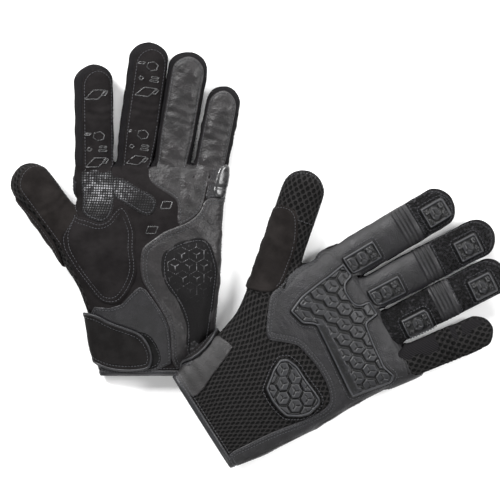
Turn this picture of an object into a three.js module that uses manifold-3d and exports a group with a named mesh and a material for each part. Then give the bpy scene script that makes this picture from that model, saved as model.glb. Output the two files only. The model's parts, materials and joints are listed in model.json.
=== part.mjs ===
// A pair of short motorcycle gloves lying flat: the left glove palm up, the right glove back up,
// with the right cuff's corner resting on the left cuff. Millimetres, +Z up.
//
// Each glove is drawn in its own frame: x across the hand with the thumb towards -x, y from the
// cuff to the fingertips, z up from the surface that it lies on.

import * as THREE from 'three';
import { mergeVertices } from 'three/addons/utils/BufferGeometryUtils.js';
import Module from 'manifold-3d';

const wasm = await Module();
wasm.setup();

// Driving dimensions shared by both gloves.
const wall = 1.8; // shell, padding and lining together
const gap = 0.35; // clearance between neighbouring pieces
const guardHeight = 3.2; // moulded guards stand this far off the shell
const strapHeight = 2.2;
const patchHeight = 0.8; // each half of the hook and loop fastener
const bindingHeight = 1;
const bindingLength = 3.5;
const fingerThickness = 17;
const thumbThickness = 21;
const tipRounding = 13;
const handSides = 22; // facets round the hand
const fingerSides = 12; // facets round a finger
const handSquareness = 2.5; // 2 is an ellipse, more is boxier
const reach = 200; // longer than anything that it has to cut

// Where each glove lies, which side is up, and its own sizes.
// A hand station is the hand's cross-section at one distance from the cuff's end.
const gloves = {
  left: {
    backUp: false,
    place: [-78.5, -88.5],
    turn: 0,
    restHeight: 3.5, // the shell lies on its guards
    stations: [
      { y: 0, thumbSide: -36, outerSide: 40, bottom: 0.6, top: 10.5 },
      { y: 22, thumbSide: -43, outerSide: 44, bottom: 1.6, top: 14.5 },
      { y: 45, thumbSide: -46, outerSide: 46.5, bottom: 3, top: 22 },
      { y: 62, thumbSide: -52, outerSide: 48, bottom: 3.5, top: 26 },
      { y: 78, thumbSide: -61, outerSide: 49.5, bottom: 3.5, top: 28 },
      { y: 92, thumbSide: -66, outerSide: 50, bottom: 3.5, top: 28.5 },
      { y: 112, thumbSide: -59, outerSide: 50.5, bottom: 3.5, top: 27.5 },
      { y: 128, thumbSide: -54, outerSide: 52, bottom: 3.5, top: 25.5 },
      { y: 152, thumbSide: -54, outerSide: 55, bottom: 3.5, top: 20.5 },
    ],
    digits: {
      thumb: { root: [-52, 92], tip: [-96, 152], width: 30, bend: 0.5 },
      index: { root: [-41, 146], tip: [-42, 227], width: 25.6, bend: 0.57 },
      middle: { root: [-13.2, 148], tip: [0, 243], width: 25.4, bend: 0.49 },
      ring: { root: [13.5, 147], tip: [29, 236], width: 25.2, bend: 0.5 },
      little: { root: [41, 140], tip: [55, 211], width: 25, bend: 0.52 },
    },
  },
  right: {
    backUp: true,
    place: [-42.5, -120],
    turn: -57.6,
    restHeight: -0.7, // the palm is pressed flat where it lies
    stations: [
      { y: 0, thumbSide: -36, outerSide: 40, bottom: 16.8, top: 33 },
      { y: 22, thumbSide: -43, outerSide: 44.5, bottom: 13.4, top: 34 },
      { y: 45, thumbSide: -46, outerSide: 47, bottom: 7.1, top: 32 },
      { y: 62, thumbSide: -51, outerSide: 49, bottom: 1.5, top: 29 },
      { y: 78, thumbSide: -61, outerSide: 50, bottom: 0, top: 27 },
      { y: 92, thumbSide: -67, outerSide: 50, bottom: -0.7, top: 26 },
      { y: 112, thumbSide: -60, outerSide: 51, bottom: -0.7, top: 25 },
      { y: 130, thumbSide: -54, outerSide: 54, bottom: -0.7, top: 22.5 },
      { y: 154, thumbSide: -54, outerSide: 58, bottom: -0.7, top: 16.8 },
    ],
    digits: {
      thumb: { root: [-53, 93], tip: [-110, 164], width: 30, bend: 0.5 },
      index: { root: [-40, 148], tip: [-37, 241], width: 26.8, bend: 0.58 },
      middle: { root: [-11, 150], tip: [-2, 254], width: 27.4, bend: 0.48 },
      ring: { root: [17.5, 149], tip: [27, 246], width: 27, bend: 0.485 },
      little: { root: [44, 142], tip: [57, 216], width: 25.4, bend: 0.52 },
    },
  },
};

// Panel outlines, in a glove's own x and y. A coordinate of 90 or more runs past the hand's side.
const outlines = {
  wristElastic: [[-90, -9], [-90, 42], [-46, 42], [-33, 47], [-16, 6], [-16, -9]],
  backLeather: [
    [-90, 119], [-52, 119], [-50, 104], [-48, 90], [-41, 84], [-24, 71], [-17, 79], [-8, 89],
    [11, 92], [24, 92], [36, 89], [41, 84], [41, 69], [38, 53], [35, 38], [31, -9],
    [90, -9], [90, 170], [-90, 170],
  ],
  impactPad: [
    [9, 92], [17, 96], [28, 100], [38, 101], [44, 97], [47, 88], [47, 63], [43, 30], [36, 12],
    [23, 12], [26, 33], [25, 44], [20, 54], [14, 63], [7, 70], [7, 81],
  ],
  outerPalm: [
    [18, 108], [10, 105], [3, 100], [-4, 95], [-6, 90], [-6, 70], [-1, 61], [5, 52], [11, 41],
    [14, 33], [15, -9], [90, -9], [90, 114], [36, 114], [28, 108],
  ],
  thenar: [
    [-90, 122], [-54, 122], [-44, 113], [-37, 111], [-31, 113], [-28, 119], [-28, 126],
    [-24, 129], [-17, 123], [-14, 113], [-12, 103], [-12, 81], [-13, 70], [-18, 59], [-25, 52],
    [-35, 53], [-42, 61], [-52, 73], [-66, 95], [-90, 110],
  ],
  gripPatch: [
    [-90, 170], [-26, 170], [-26, 145], [-19, 144], [-8, 137], [1, 133], [5, 126], [3, 119],
    [-2, 116], [-8, 118], [-17, 124], [-24, 130], [-29, 127], [-29, 119], [-32, 113], [-37, 112],
    [-44, 114], [-54, 123], [-90, 123],
  ],
  strap: [
    [-40, 47], [-30, 39], [-15, 34], [-8, 31], [-3, 25], [0, 17], [0, 10], [-3, 5], [-34, 5],
    [-38, 22],
  ],
  loopPatch: [[-28, 33], [-2, 31], [4, 23], [7, 13], [5, 7], [-28, 7]],
  hookPatch: [[-27, 32], [-10, 29], [-4, 23], [-2, 16], [-4, 8], [-27, 8]],
  knuckleGuard: [
    [-32, 96], [-36, 108], [-37, 140], [-19, 139], [-6, 142], [4, 142], [7, 139], [22, 136],
    [39, 132], [46, 131], [47, 126], [42, 101], [36, 101], [-13, 107], [-19, 99],
  ],
  wristGuard: [
    [-7, 72], [-4, 78], [4, 81], [27, 82], [34, 82], [37, 79], [39, 69], [37, 62], [31, 53],
    [24, 51], [6, 51], [3, 55], [-3, 63],
  ],
};

// Guards on the fingers: centre and half size, measured from the joint behind them.
const tipGuard = { centre: 0.58, halfLength: 9, halfWidth: 7 };
const ringBaseGuard = { centre: 0.45, halfLength: 11, halfWidth: 8 };
const knuckleArm = { start: 1.5, end: 27, halfWidth: 6 };

// The finishes, as each piece's colour, roughness and metalness.
const finishes = {
  leather: [0x1d1c1f, 0.55, 0],
  suede: [0x141312, 0.95, 0],
  mesh: [0x17181a, 0.85, 0],
  grip: [0x3a3a3c, 0.5, 0.1],
  guard: [0x26282c, 0.45, 0],
  elastic: [0x1b1b1d, 0.8, 0],
  binding: [0x202023, 0.5, 0],
  fastener: [0x121213, 0.9, 0],
};

// Solids from three.js geometry, and back.

function toSolid(geometry) {
  const bare = geometry.index ? geometry.toNonIndexed() : geometry.clone();
  bare.deleteAttribute('normal');
  bare.deleteAttribute('uv');
  const merged = mergeVertices(bare, 1e-4);
  return new wasm.Manifold(
    new wasm.Mesh({
      numProp: 3,
      vertProperties: new Float32Array(merged.attributes.position.array),
      triVerts: new Uint32Array(merged.index.array),
    }),
  );
}

function toGeometry(solid) {
  const { vertProperties, triVerts } = solid.getMesh();
  const indexed = new THREE.BufferGeometry();
  indexed.setAttribute('position', new THREE.BufferAttribute(vertProperties, 3));
  indexed.setIndex(new THREE.BufferAttribute(triVerts, 1));
  const geometry = indexed.toNonIndexed();
  geometry.computeVertexNormals();
  return geometry;
}

// The biggest body of a solid, without the slivers that a cut can leave.
function largest(solid) {
  return solid.decompose().reduce((a, b) => (a.volume() > b.volume() ? a : b));
}

function join(...solids) {
  return solids.reduce((a, b) => a.add(b));
}

function box(low, high) {
  const size = high.map((value, axis) => value - low[axis]);
  const geometry = new THREE.BoxGeometry(...size);
  geometry.translate(...low.map((value, axis) => value + size[axis] / 2));
  return toSolid(geometry);
}

// A solid through a row of rings with the same number of points, capped at both ends.
function loft(rings) {
  const count = rings[0].length;
  const position = rings.flat().flatMap((point) => point.toArray());
  const index = [];
  for (let row = 0; row < rings.length - 1; row += 1) {
    for (let k = 0; k < count; k += 1) {
      const a = row * count + k;
      const b = row * count + ((k + 1) % count);
      index.push(a, a + count, b, b, a + count, b + count);
    }
  }
  const last = (rings.length - 1) * count;
  for (let k = 1; k < count - 1; k += 1) {
    index.push(0, k, k + 1);
    index.push(last, last + k + 1, last + k);
  }
  const geometry = new THREE.BufferGeometry();
  geometry.setAttribute('position', new THREE.Float32BufferAttribute(position, 3));
  geometry.setIndex(index);
  return toSolid(geometry);
}

// A closed ring at y: |x|^n + |z|^n = 1, stretched to its half width and half height.
function ovalRing(y, centre, half, squareness, sides) {
  const ring = [];
  for (let k = 0; k < sides; k += 1) {
    const angle = (2 * Math.PI * k) / sides;
    const power = (value) => Math.sign(value) * Math.abs(value) ** (2 / squareness);
    ring.push(
      new THREE.Vector3(
        centre[0] + half[0] * power(Math.cos(angle)),
        y,
        centre[1] + half[1] * power(Math.sin(angle)),
      ),
    );
  }
  return ring;
}

function prism(outline, low, high) {
  const shape = new THREE.Shape(outline.map((point) => new THREE.Vector2(...point)));
  const geometry = new THREE.ExtrudeGeometry(shape, { depth: high - low, bevelEnabled: false });
  geometry.translate(0, 0, low);
  return toSolid(geometry);
}

// The outline moved outwards by a distance, corner by corner.
function grown(outline, distance) {
  const points = outline.map((point) => new THREE.Vector2(...point));
  const turn = THREE.ShapeUtils.isClockWise(points) ? 1 : -1;
  return points.map((point, k) => {
    const before = points[(k + points.length - 1) % points.length];
    const after = points[(k + 1) % points.length];
    const inward = point.clone().sub(before).normalize();
    const outward = after.clone().sub(point).normalize();
    const normal = new THREE.Vector2(-inward.y - outward.y, inward.x + outward.x).normalize();
    const cosine = Math.max(0.5, new THREE.Vector2(-inward.y, inward.x).dot(normal));
    return point.clone().addScaledVector(normal, (turn * distance) / cosine).toArray();
  });
}

const aboveSurface = box([-reach, -reach, 0], [reach, 2 * reach, reach]);

// The hand: a lofted oval tube, grown or shrunk evenly. A shrunk one runs out of both ends.
function handBody(glove, grow) {
  const rings = glove.stations.map((station, k) => {
    const halfWidth = (station.outerSide - station.thumbSide) / 2 + grow;
    const halfHeight = (station.top - station.bottom) / 2 + grow;
    const centre = [
      (station.outerSide + station.thumbSide) / 2,
      (station.top + station.bottom) / 2,
    ];
    const isFirst = k === 0 && grow < 0;
    const isLast = k === glove.stations.length - 1 && grow < 0;
    const y = station.y - (isFirst ? 9 : 0) + (isLast ? 9 : 0);
    return ovalRing(y, centre, [halfWidth, halfHeight], handSquareness, handSides);
  });
  return loft(rings);
}

// Everything on one side of the hand's middle height, as a solid. Up is 1 or -1.
function handHalf(glove, up) {
  const middle = glove.stations.map((station) => [
    station.y,
    (station.top + station.bottom) / 2 + (up * gap) / 2,
  ]);
  const first = middle[0][1];
  const last = middle[middle.length - 1][1];
  const outline = [
    [-reach, up * reach],
    [-reach, first],
    ...middle,
    [reach * 2, last],
    [reach * 2, up * reach],
  ];
  const shape = new THREE.Shape(outline.map((point) => new THREE.Vector2(...point)));
  const geometry = new THREE.ExtrudeGeometry(shape, { depth: 2 * reach, bevelEnabled: false });
  geometry.translate(0, 0, -reach);
  const alongX = new THREE.Matrix4().makeBasis(
    new THREE.Vector3(0, 1, 0),
    new THREE.Vector3(0, 0, 1),
    new THREE.Vector3(1, 0, 0),
  );
  geometry.applyMatrix4(alongX);
  return toSolid(geometry);
}

// A digit is drawn along +y of its own group, with its root hinge at the origin.
function measureDigit(glove, name) {
  const { root, tip, width, bend } = glove.digits[name];
  const thickness = name === 'thumb' ? thumbThickness : fingerThickness;
  const length = Math.hypot(tip[0] - root[0], tip[1] - root[1]);
  return {
    width,
    length,
    radius: thickness / 2,
    joint: length * bend,
    height: glove.restHeight + thickness / 2,
    turn: Math.atan2(root[0] - tip[0], tip[1] - root[1]),
    root,
  };
}

function digitBody(digit, grow) {
  const halfWidth = digit.width / 2 + grow;
  const halfHeight = digit.radius + grow;
  const length = digit.length + grow;
  const rings = [ovalRing(-2 * digit.radius, [0, 0], [halfWidth, halfHeight], 2, fingerSides)];
  for (const part of [0, 0.6, 0.88, 0.99]) {
    const y = length - tipRounding * (1 - part);
    const shrink = Math.sqrt(1 - part * part);
    rings.push(ovalRing(y, [0, 0], [halfWidth * shrink, halfHeight * shrink], 2.2, fingerSides));
  }
  return loft(rings);
}

function crossRound(y, radius, width) {
  const geometry = new THREE.CylinderGeometry(radius, radius, width, 32);
  geometry.rotateZ(Math.PI / 2);
  geometry.translate(0, y, 0);
  return toSolid(geometry);
}

// What a segment keeps behind its hinge: nothing but a rounded end that can turn.
function fromHinge(digit, y) {
  return join(
    box([-reach, y, -reach], [reach, 2 * reach, reach]),
    crossRound(y, digit.radius, digit.width * 2),
  );
}

// What the piece behind a hinge gives up, so that the segment in front can fold to the palm.
function beforeHinge(digit, y, halfWidth, palmUp) {
  const behind = y - digit.radius - gap;
  const low = palmUp > 0 ? 0 : -reach;
  const high = palmUp > 0 ? reach : 0;
  return join(
    box([-halfWidth, y, -reach], [halfWidth, reach, reach]),
    box([-halfWidth, behind, low], [halfWidth, reach, high]),
    crossRound(y, digit.radius + gap, halfWidth * 2),
  );
}

function placedLike(solid, digit) {
  const matrix = new THREE.Matrix4().makeRotationZ(digit.turn);
  matrix.setPosition(digit.root[0], digit.root[1], digit.height);
  return solid.transform(matrix.toArray());
}

function mesh(name, solid, finish) {
  const [color, roughness, metalness] = finishes[finish];
  const material = new THREE.MeshStandardMaterial({ color, roughness, metalness });
  const made = new THREE.Mesh(toGeometry(largest(solid)), material);
  made.name = name;
  return made;
}

// The hand's own pieces: back and palm panels, cuff binding, fastener, strap and guards.
function makeHand(side, glove) {
  const hand = new THREE.Group();
  const backUp = glove.backUp ? 1 : -1;
  const cut = (solid, outline) => solid.intersect(prism(outline, -reach, reach));
  const cutAway = (solid, outline) => solid.subtract(prism(grown(outline, gap), -reach, reach));

  const digits = Object.keys(glove.digits).map((name) => measureDigit(glove, name));
  const cutters = digits.map((digit) =>
    placedLike(beforeHinge(digit, 0, digit.width / 2 + 1.6, -backUp), digit),
  );
  const fingersAway = join(...cutters);

  const shell = handBody(glove, 0)
    .subtract(handBody(glove, -wall))
    .intersect(box([-reach, bindingLength / 2 + gap, 0], [reach, reach, reach]))
    .subtract(fingersAway);
  const backHalf = handHalf(glove, backUp);
  const palmHalf = handHalf(glove, -backUp);

  let back = shell.intersect(backHalf);
  hand.add(mesh(`${side}_wrist_elastic`, cut(back, outlines.wristElastic), 'elastic'));
  back = cutAway(back, outlines.wristElastic);
  hand.add(mesh(`${side}_back_leather`, cut(back, outlines.backLeather), 'leather'));
  back = cutAway(back, outlines.backLeather);
  hand.add(mesh(`${side}_back_mesh`, back, 'mesh'));

  let palm = shell.intersect(palmHalf);
  const palmPanels = [
    ['palm_impact_pad', outlines.impactPad, 'suede'],
    ['outer_palm_leather', outlines.outerPalm, 'leather'],
    ['thenar_suede', outlines.thenar, 'suede'],
    ['grip_patch', outlines.gripPatch, 'grip'],
  ];
  for (const [name, outline, finish] of palmPanels) {
    hand.add(mesh(`${side}_${name}`, cut(palm, outline), finish));
    palm = cutAway(palm, outline);
  }
  hand.add(mesh(`${side}_palm_suede`, palm, 'suede'));

  const binding = handBody(glove, bindingHeight)
    .subtract(handBody(glove, -wall))
    .intersect(box([-reach, -bindingLength / 2, 0], [reach, bindingLength / 2, reach]));
  hand.add(mesh(`${side}_cuff_binding`, binding, 'binding'));

  const layer = (low, high, half) =>
    handBody(glove, high).subtract(handBody(glove, low)).intersect(half).intersect(aboveSurface);
  const loopLayer = layer(gap, gap + patchHeight, palmHalf);
  hand.add(mesh(`${side}_loop_patch`, cut(loopLayer, outlines.loopPatch), 'fastener'));
  const guardLayer = layer(gap, gap + guardHeight, backHalf);
  hand.add(mesh(`${side}_knuckle_guard`, cut(guardLayer, outlines.knuckleGuard), 'guard'));
  hand.add(mesh(`${side}_wrist_guard`, cut(guardLayer, outlines.wristGuard), 'guard'));

  const hookLow = 2 * gap + patchHeight;
  const hookLayer = layer(hookLow, hookLow + patchHeight, palmHalf);
  hand.add(mesh(`${side}_hook_patch`, cut(hookLayer, outlines.hookPatch), 'fastener'));
  const strapLow = hookLow + patchHeight + gap;
  const strapLayer = layer(strapLow, strapLow + strapHeight, palmHalf);
  hand.add(mesh(`${side}_strap`, cut(strapLayer, outlines.strap), 'leather'));
  return hand;
}

// One digit: two hollow segments and the guards on its back.
function makeDigit(side, glove, name) {
  const digit = measureDigit(glove, name);
  const backUp = glove.backUp ? 1 : -1;
  const group = new THREE.Group();
  group.position.set(digit.root[0], digit.root[1], digit.height);
  group.rotation.z = digit.turn;

  const above = box([-reach, -reach, -digit.height], [reach, reach, reach]);
  const outer = digitBody(digit, 0).intersect(above);
  const tube = outer.subtract(digitBody(digit, -wall));
  const lower = tube
    .intersect(fromHinge(digit, 0))
    .subtract(beforeHinge(digit, digit.joint, reach, -backUp));
  const upper = tube.intersect(fromHinge(digit, digit.joint));
  const finish = { thumb: 'mesh', index: 'suede', middle: 'suede', ring: 'leather', little: 'leather' };
  group.add(mesh(`${side}_${name}_lower`, lower, finish[name]));
  group.add(mesh(`${side}_${name}_upper`, upper, finish[name]));

  const backSide = backUp > 0
    ? box([-reach, -reach, 0], [reach, reach, reach])
    : box([-reach, -reach, -reach], [reach, reach, 0]);
  const guardLayer = digitBody(digit, gap + guardHeight)
    .subtract(digitBody(digit, gap))
    .intersect(backSide)
    .intersect(above);
  const guard = (label, start, end, halfWidth) => {
    const block = box([-halfWidth, start, -reach], [halfWidth, end, reach]);
    group.add(mesh(`${side}_${name}_${label}`, guardLayer.intersect(block), 'guard'));
  };
  if (['index', 'middle', 'ring'].includes(name)) {
    const centre = digit.joint + (digit.length - digit.joint) * tipGuard.centre;
    const { halfLength, halfWidth } = tipGuard;
    guard('tip_guard', centre - halfLength, centre + halfLength, halfWidth);
  }
  if (['index', 'middle'].includes(name)) {
    guard('knuckle_arm', knuckleArm.start, knuckleArm.end, knuckleArm.halfWidth);
  }
  if (name === 'ring') {
    const centre = digit.joint * ringBaseGuard.centre;
    const { halfLength, halfWidth } = ringBaseGuard;
    guard('base_guard', centre - halfLength, centre + halfLength, halfWidth);
  }
  return group;
}

const pair = new THREE.Group();
for (const [side, glove] of Object.entries(gloves)) {
  const whole = new THREE.Group();
  whole.position.set(glove.place[0], glove.place[1], 0);
  whole.rotation.z = THREE.MathUtils.degToRad(glove.turn);
  whole.add(makeHand(side, glove));
  for (const name of Object.keys(glove.digits)) {
    whole.add(makeDigit(side, glove, name));
  }
  pair.add(whole);
}

export default pair;
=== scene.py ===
"""A pair of short motorcycle gloves lying flat, the left palm up and the right back up."""
import json
import math

import bpy
import numpy as np
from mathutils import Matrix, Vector


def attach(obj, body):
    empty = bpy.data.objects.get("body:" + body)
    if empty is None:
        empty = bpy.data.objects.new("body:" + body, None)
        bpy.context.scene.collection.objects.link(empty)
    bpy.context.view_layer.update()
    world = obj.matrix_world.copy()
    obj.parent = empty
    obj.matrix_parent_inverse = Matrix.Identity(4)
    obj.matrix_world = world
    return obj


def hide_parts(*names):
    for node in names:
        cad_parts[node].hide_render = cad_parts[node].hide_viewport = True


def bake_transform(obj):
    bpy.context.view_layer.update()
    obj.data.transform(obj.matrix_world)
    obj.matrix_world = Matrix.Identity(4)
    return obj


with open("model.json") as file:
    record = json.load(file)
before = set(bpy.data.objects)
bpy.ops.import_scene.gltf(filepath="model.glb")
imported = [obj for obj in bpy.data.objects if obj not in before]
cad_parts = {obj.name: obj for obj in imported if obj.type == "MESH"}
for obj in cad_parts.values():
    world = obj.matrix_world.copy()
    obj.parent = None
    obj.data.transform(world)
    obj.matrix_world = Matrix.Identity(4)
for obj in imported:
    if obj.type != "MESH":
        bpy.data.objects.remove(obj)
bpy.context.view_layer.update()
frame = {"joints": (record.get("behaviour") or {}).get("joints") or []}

MM = 0.001
JOINTS = {joint["name"]: joint for joint in frame["joints"]}

# ---------------------------------------------------------------- camera and light

VIEW_CENTRE = (-6.5, 3.1)  # mm
VIEW_WIDTH = 363.6
VIEW_LEVEL = 14.0  # the height above the floor at which the view is VIEW_WIDTH wide
CAMERA_HEIGHT = 2500.0
CAMERA_REACH = 20  # m
SENSOR = 36.0
LIGHTS = (  # name, place in m, size in m, power in W; each aims at the origin
    ("key", (-1.0, 1.15, 1.25), 0.7, 56),
    ("fill", (1.25, 0.35, 1.2), 0.8, 30),
    ("ridge", (0.1, 1.7, 0.75), 0.7, 26),
    ("front", (-0.2, -1.5, 1.3), 0.8, 18),
)
WORLD_STRENGTH = 0.2
FLOOR_HALF = 3.0  # m
FLOOR_DROP = 0.0004


def make_camera():
    """A long lens looking straight down, wide enough for VIEW_WIDTH at the gloves' height."""
    data = bpy.data.cameras.new("camera")
    data.sensor_width = SENSOR
    data.lens = SENSOR * (CAMERA_HEIGHT - VIEW_LEVEL) / VIEW_WIDTH
    data.clip_end = CAMERA_REACH
    camera = bpy.data.objects.new("camera", data)
    camera.location = (VIEW_CENTRE[0] * MM, VIEW_CENTRE[1] * MM, CAMERA_HEIGHT * MM)
    bpy.context.scene.collection.objects.link(camera)
    bpy.context.scene.camera = camera


def make_light():
    """A round soft lamp on either side, set so that a level surface doesn't mirror it to the
    camera, a lower one behind that catches the ridges, and a weak one in front."""
    for name, place, size, power in LIGHTS:
        data = bpy.data.lights.new(name, "AREA")
        data.shape = "DISK"
        data.size = size
        data.energy = power
        light = bpy.data.objects.new(name, data)
        light.location = place
        light.rotation_euler = (-Vector(place)).to_track_quat("-Z", "Y").to_euler()
        bpy.context.scene.collection.objects.link(light)
    world = bpy.data.worlds.new("studio")
    world.use_nodes = True
    background = world.node_tree.nodes["Background"]
    background.inputs["Color"].default_value = (1, 1, 1, 1)
    background.inputs["Strength"].default_value = WORLD_STRENGTH
    bpy.context.scene.world = world
    bpy.context.scene.view_settings.view_transform = "Standard"


def make_floor():
    """A plain pale floor, a little below the gloves' rest height."""
    half, low = FLOOR_HALF, -FLOOR_DROP
    corners = [(-half, -half, low), (half, -half, low), (half, half, low), (-half, half, low)]
    data = bpy.data.meshes.new("floor")
    data.from_pydata(corners, [], [(0, 1, 2, 3)])
    floor = bpy.data.objects.new("floor", data)
    bpy.context.scene.collection.objects.link(floor)
    material = bpy.data.materials.new("floor_paper")
    material.use_nodes = True
    shader = material.node_tree.nodes["Principled BSDF"]
    shader.inputs["Base Color"].default_value = (0.96, 0.96, 0.96, 1)
    shader.inputs["Roughness"].default_value = 0.9
    data.materials.append(material)


# ---------------------------------------------------------------- layout of the two gloves
# A hand station: distance from the cuff's end, thumb side, outer side, lowest and highest, mm.

HANDS = {
    "left": {
        "back_up": -1, "place": (-78.5, -88.5), "turn": 0.0,
        "stations": [
            (0, -36, 40, 0.6, 10.5), (22, -43, 44, 1.6, 14.5), (45, -46, 46.5, 3, 22),
            (62, -52, 48, 3.5, 26), (78, -61, 49.5, 3.5, 28), (92, -66, 50, 3.5, 28.5),
            (112, -59, 50.5, 3.5, 27.5), (128, -53, 52, 3.5, 25.5), (152, -52.5, 54, 3.5, 20.5),
        ],
        "lengths": {"thumb": 74.4, "index": 81.0, "middle": 95.9, "ring": 90.3, "little": 72.4},
    },
    "right": {
        "back_up": 1, "place": (-42.5, -120.0), "turn": -57.6,
        "stations": [
            (0, -36, 40, 16.8, 33), (22, -43, 44.5, 13.4, 34), (45, -46, 47, 7.1, 32),
            (62, -51, 49, 1.5, 29), (78, -61, 50, 0, 27), (92, -67, 50, -0.7, 26),
            (112, -60, 51, -0.7, 25), (130, -53, 53, -0.7, 22.5), (154, -52.5, 56, -0.7, 16.8),
        ],
        "lengths": {"thumb": 91.1, "index": 93.0, "middle": 104.4, "ring": 97.5, "little": 75.1},
    },
}
WIDTHS = {  # at the root and past the knuckle, mm
    "left": {"thumb": (30, 30), "index": (29, 29), "middle": (26, 29.6),
             "ring": (26, 29.6), "little": (25, 25.8)},
    "right": {"thumb": (30, 30), "index": (30, 30.5), "middle": (27, 28.8),
              "ring": (26.5, 28.8), "little": (25, 25.4)},
}
THICKNESS = {"thumb": 21.0, "index": 17.0, "middle": 17.0, "ring": 17.0, "little": 16.6}
DIGITS = ("thumb", "index", "middle", "ring", "little")
HAND_POWER = 2.5  # how boxy the hand's section is; 2 is an ellipse
HALF_SPREAD = 57.0  # the hand's centre to its side, measured over the surface
HAND_AXES = (50, 12)  # its half width and half height, near enough to share out the oval
BELL = 17  # how far the stations are averaged along the hand
FRONT = 150.0  # the hand's body ends here, under the fingers
FRONT_START = 8.0  # it begins to round off this far short of there
FRONT_ROUND = 14.0
TIP_ROUND = 13.0  # a fingertip's last stretch, which is half an oval
ROOT_BLEND = 32.0  # a digit goes over from its root's width to its own along this length
ROOT_REACH = 6.0  # half the length of fabric that a knuckle bends
BEND_REACH = 9.0  # and that a middle joint bends
FOLD_PLACE = (-37.0, 26.0)  # on the strap's fold line
FOLD_WAY = (0.99, 0.141)  # across it, towards the tab's free end
FOLD_REACH = (-2.5, 5.5)


def smoothed_table(rows):
    """Each column over y, every millimetre: straight lines between the rows, then averaged with
    a bell, so that the outline has no corners."""
    rows = np.array(rows, float)
    y = np.arange(-20.0, 190.0)
    bell = np.hanning(BELL + 2)[1:-1]
    bell /= bell.sum()
    columns = []
    for k in range(1, 5):
        line = np.interp(y, rows[:, 0], rows[:, k])
        padded = np.pad(line, BELL // 2, mode="edge")
        columns.append(np.convolve(padded, bell, "valid"))
    return y, columns


def unit_oval():
    """A quarter of |x|^p + |z|^p = 1 by its share of the way from the top to the side."""
    angle = np.linspace(0, math.pi / 2, 4000)
    x = np.sin(angle) ** (2 / HAND_POWER)
    z = np.cos(angle) ** (2 / HAND_POWER)
    step = np.hypot(HAND_AXES[0] * np.diff(x), HAND_AXES[1] * np.diff(z))
    share = np.concatenate([[0], np.cumsum(step)])
    return share / share[-1], x, z


OVAL_SHARE, OVAL_X, OVAL_Z = unit_oval()


class Digit:
    """A finger or thumb: an oval capsule from its root hinge, along the hinge-to-hinge line."""

    def __init__(self, glove, name):
        base = "thumb_base" if name == "thumb" else f"{name}_knuckle"
        middle = "thumb_tip_joint" if name == "thumb" else f"{name}_middle_joint"
        self.name = name
        self.root = np.array(JOINTS[f"{glove.side}_{base}"]["pos_m"]) / MM
        knee = np.array(JOINTS[f"{glove.side}_{middle}"]["pos_m"]) / MM
        self.joint = float(np.linalg.norm(knee - self.root))
        self.along = (knee - self.root) / self.joint
        self.across = np.array([self.along[1], -self.along[0], 0.0])
        self.cut = self.joint - BEND_REACH  # where its lower pieces end and its upper ones start
        self.length = glove.lengths[name]
        self.root_width, self.tip_width = WIDTHS[glove.side][name]
        self.half_height = THICKNESS[name] / 2
        # from the middle of the top to the side over the skin: a quarter turn of the mean radius
        self.quarter = 0.785 * (self.tip_width / 2 + self.half_height)

    def half_width(self, s):
        return (self.root_width + (self.tip_width - self.root_width) * ramp(s, 0, ROOT_BLEND)) / 2

    def at(self, s):
        return self.root + self.along * s


class Glove:
    """One glove's place on the floor, its hand's stations and its digits."""

    def __init__(self, side):
        facts = HANDS[side]
        self.side = side
        self.back_up = facts["back_up"]
        self.place = np.array(facts["place"])
        turn = math.radians(facts["turn"])
        self.x_axis = np.array([math.cos(turn), math.sin(turn)])
        self.y_axis = np.array([-math.sin(turn), math.cos(turn)])
        self.table_y, self.table = smoothed_table(facts["stations"])
        self.lengths = facts["lengths"]
        self.digits = {name: Digit(self, name) for name in DIGITS}

    def section(self, v):
        """Centre x, centre z, half width and half height of the hand at v."""
        thumb_side, outer_side, low, high = (np.interp(v, self.table_y, c) for c in self.table)
        return (
            (thumb_side + outer_side) / 2,
            (low + high) / 2,
            (outer_side - thumb_side) / 2,
            (high - low) / 2,
        )

    def to_world(self, u, v, z):
        plan = u[:, None] * self.x_axis + v[:, None] * self.y_axis + self.place
        return np.column_stack([plan, z])

    def to_local(self, points):
        plan = points[:, :2] - self.place
        return plan @ self.x_axis, plan @ self.y_axis, points[:, 2]


# ---------------------------------------------------------------- the skin that panels lie on


def hand_field(glove, points):
    """Below 0 inside the hand: (|x/a|^p + |z/b|^p + front^p)^(1/p) - 1, times the half height."""
    u, v, z = glove.to_local(points)
    centre, middle, half_width, half_height = glove.section(np.clip(v, 0, FRONT + 4))
    front = np.maximum(v - (FRONT - FRONT_START), 0) / FRONT_ROUND
    p = HAND_POWER
    sides = np.abs((u - centre) / half_width) ** p
    heights = np.abs((z - middle) / half_height) ** p
    return ((sides + heights + front**p + 1e-9) ** (1 / p) - 1) * half_height


def digit_field(digit, points):
    """Below 0 inside the digit: an oval capsule, rounded at its tip, running back into the hand."""
    rel = points - digit.root
    s = rel @ digit.along
    x = rel @ digit.across
    beyond = np.maximum(s - (digit.length - TIP_ROUND), 0) / TIP_ROUND
    behind = np.maximum(-10 - s, 0) / 8
    shape = (x / digit.half_width(s)) ** 2 + (rel[:, 2] / digit.half_height) ** 2
    return (np.sqrt(shape + beyond**2 + behind**2 + 1e-9) - 1) * digit.half_height


def smooth_least(a, b, reach=2.0):
    """The lesser of two fields, rounded where they are nearly equal."""
    mix = np.clip(0.5 + 0.5 * (b - a) / reach, 0, 1)
    return b + (a - b) * mix - reach * mix * (1 - mix)


def field(glove, names, points):
    """Below 0 inside the hand or any of the named digits, with a rounded crease between them."""
    hand = hand_field(glove, points)
    if not names:
        return hand
    nearest = np.min([digit_field(glove.digits[name], points) for name in names], axis=0)
    return smooth_least(hand, nearest)


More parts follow.
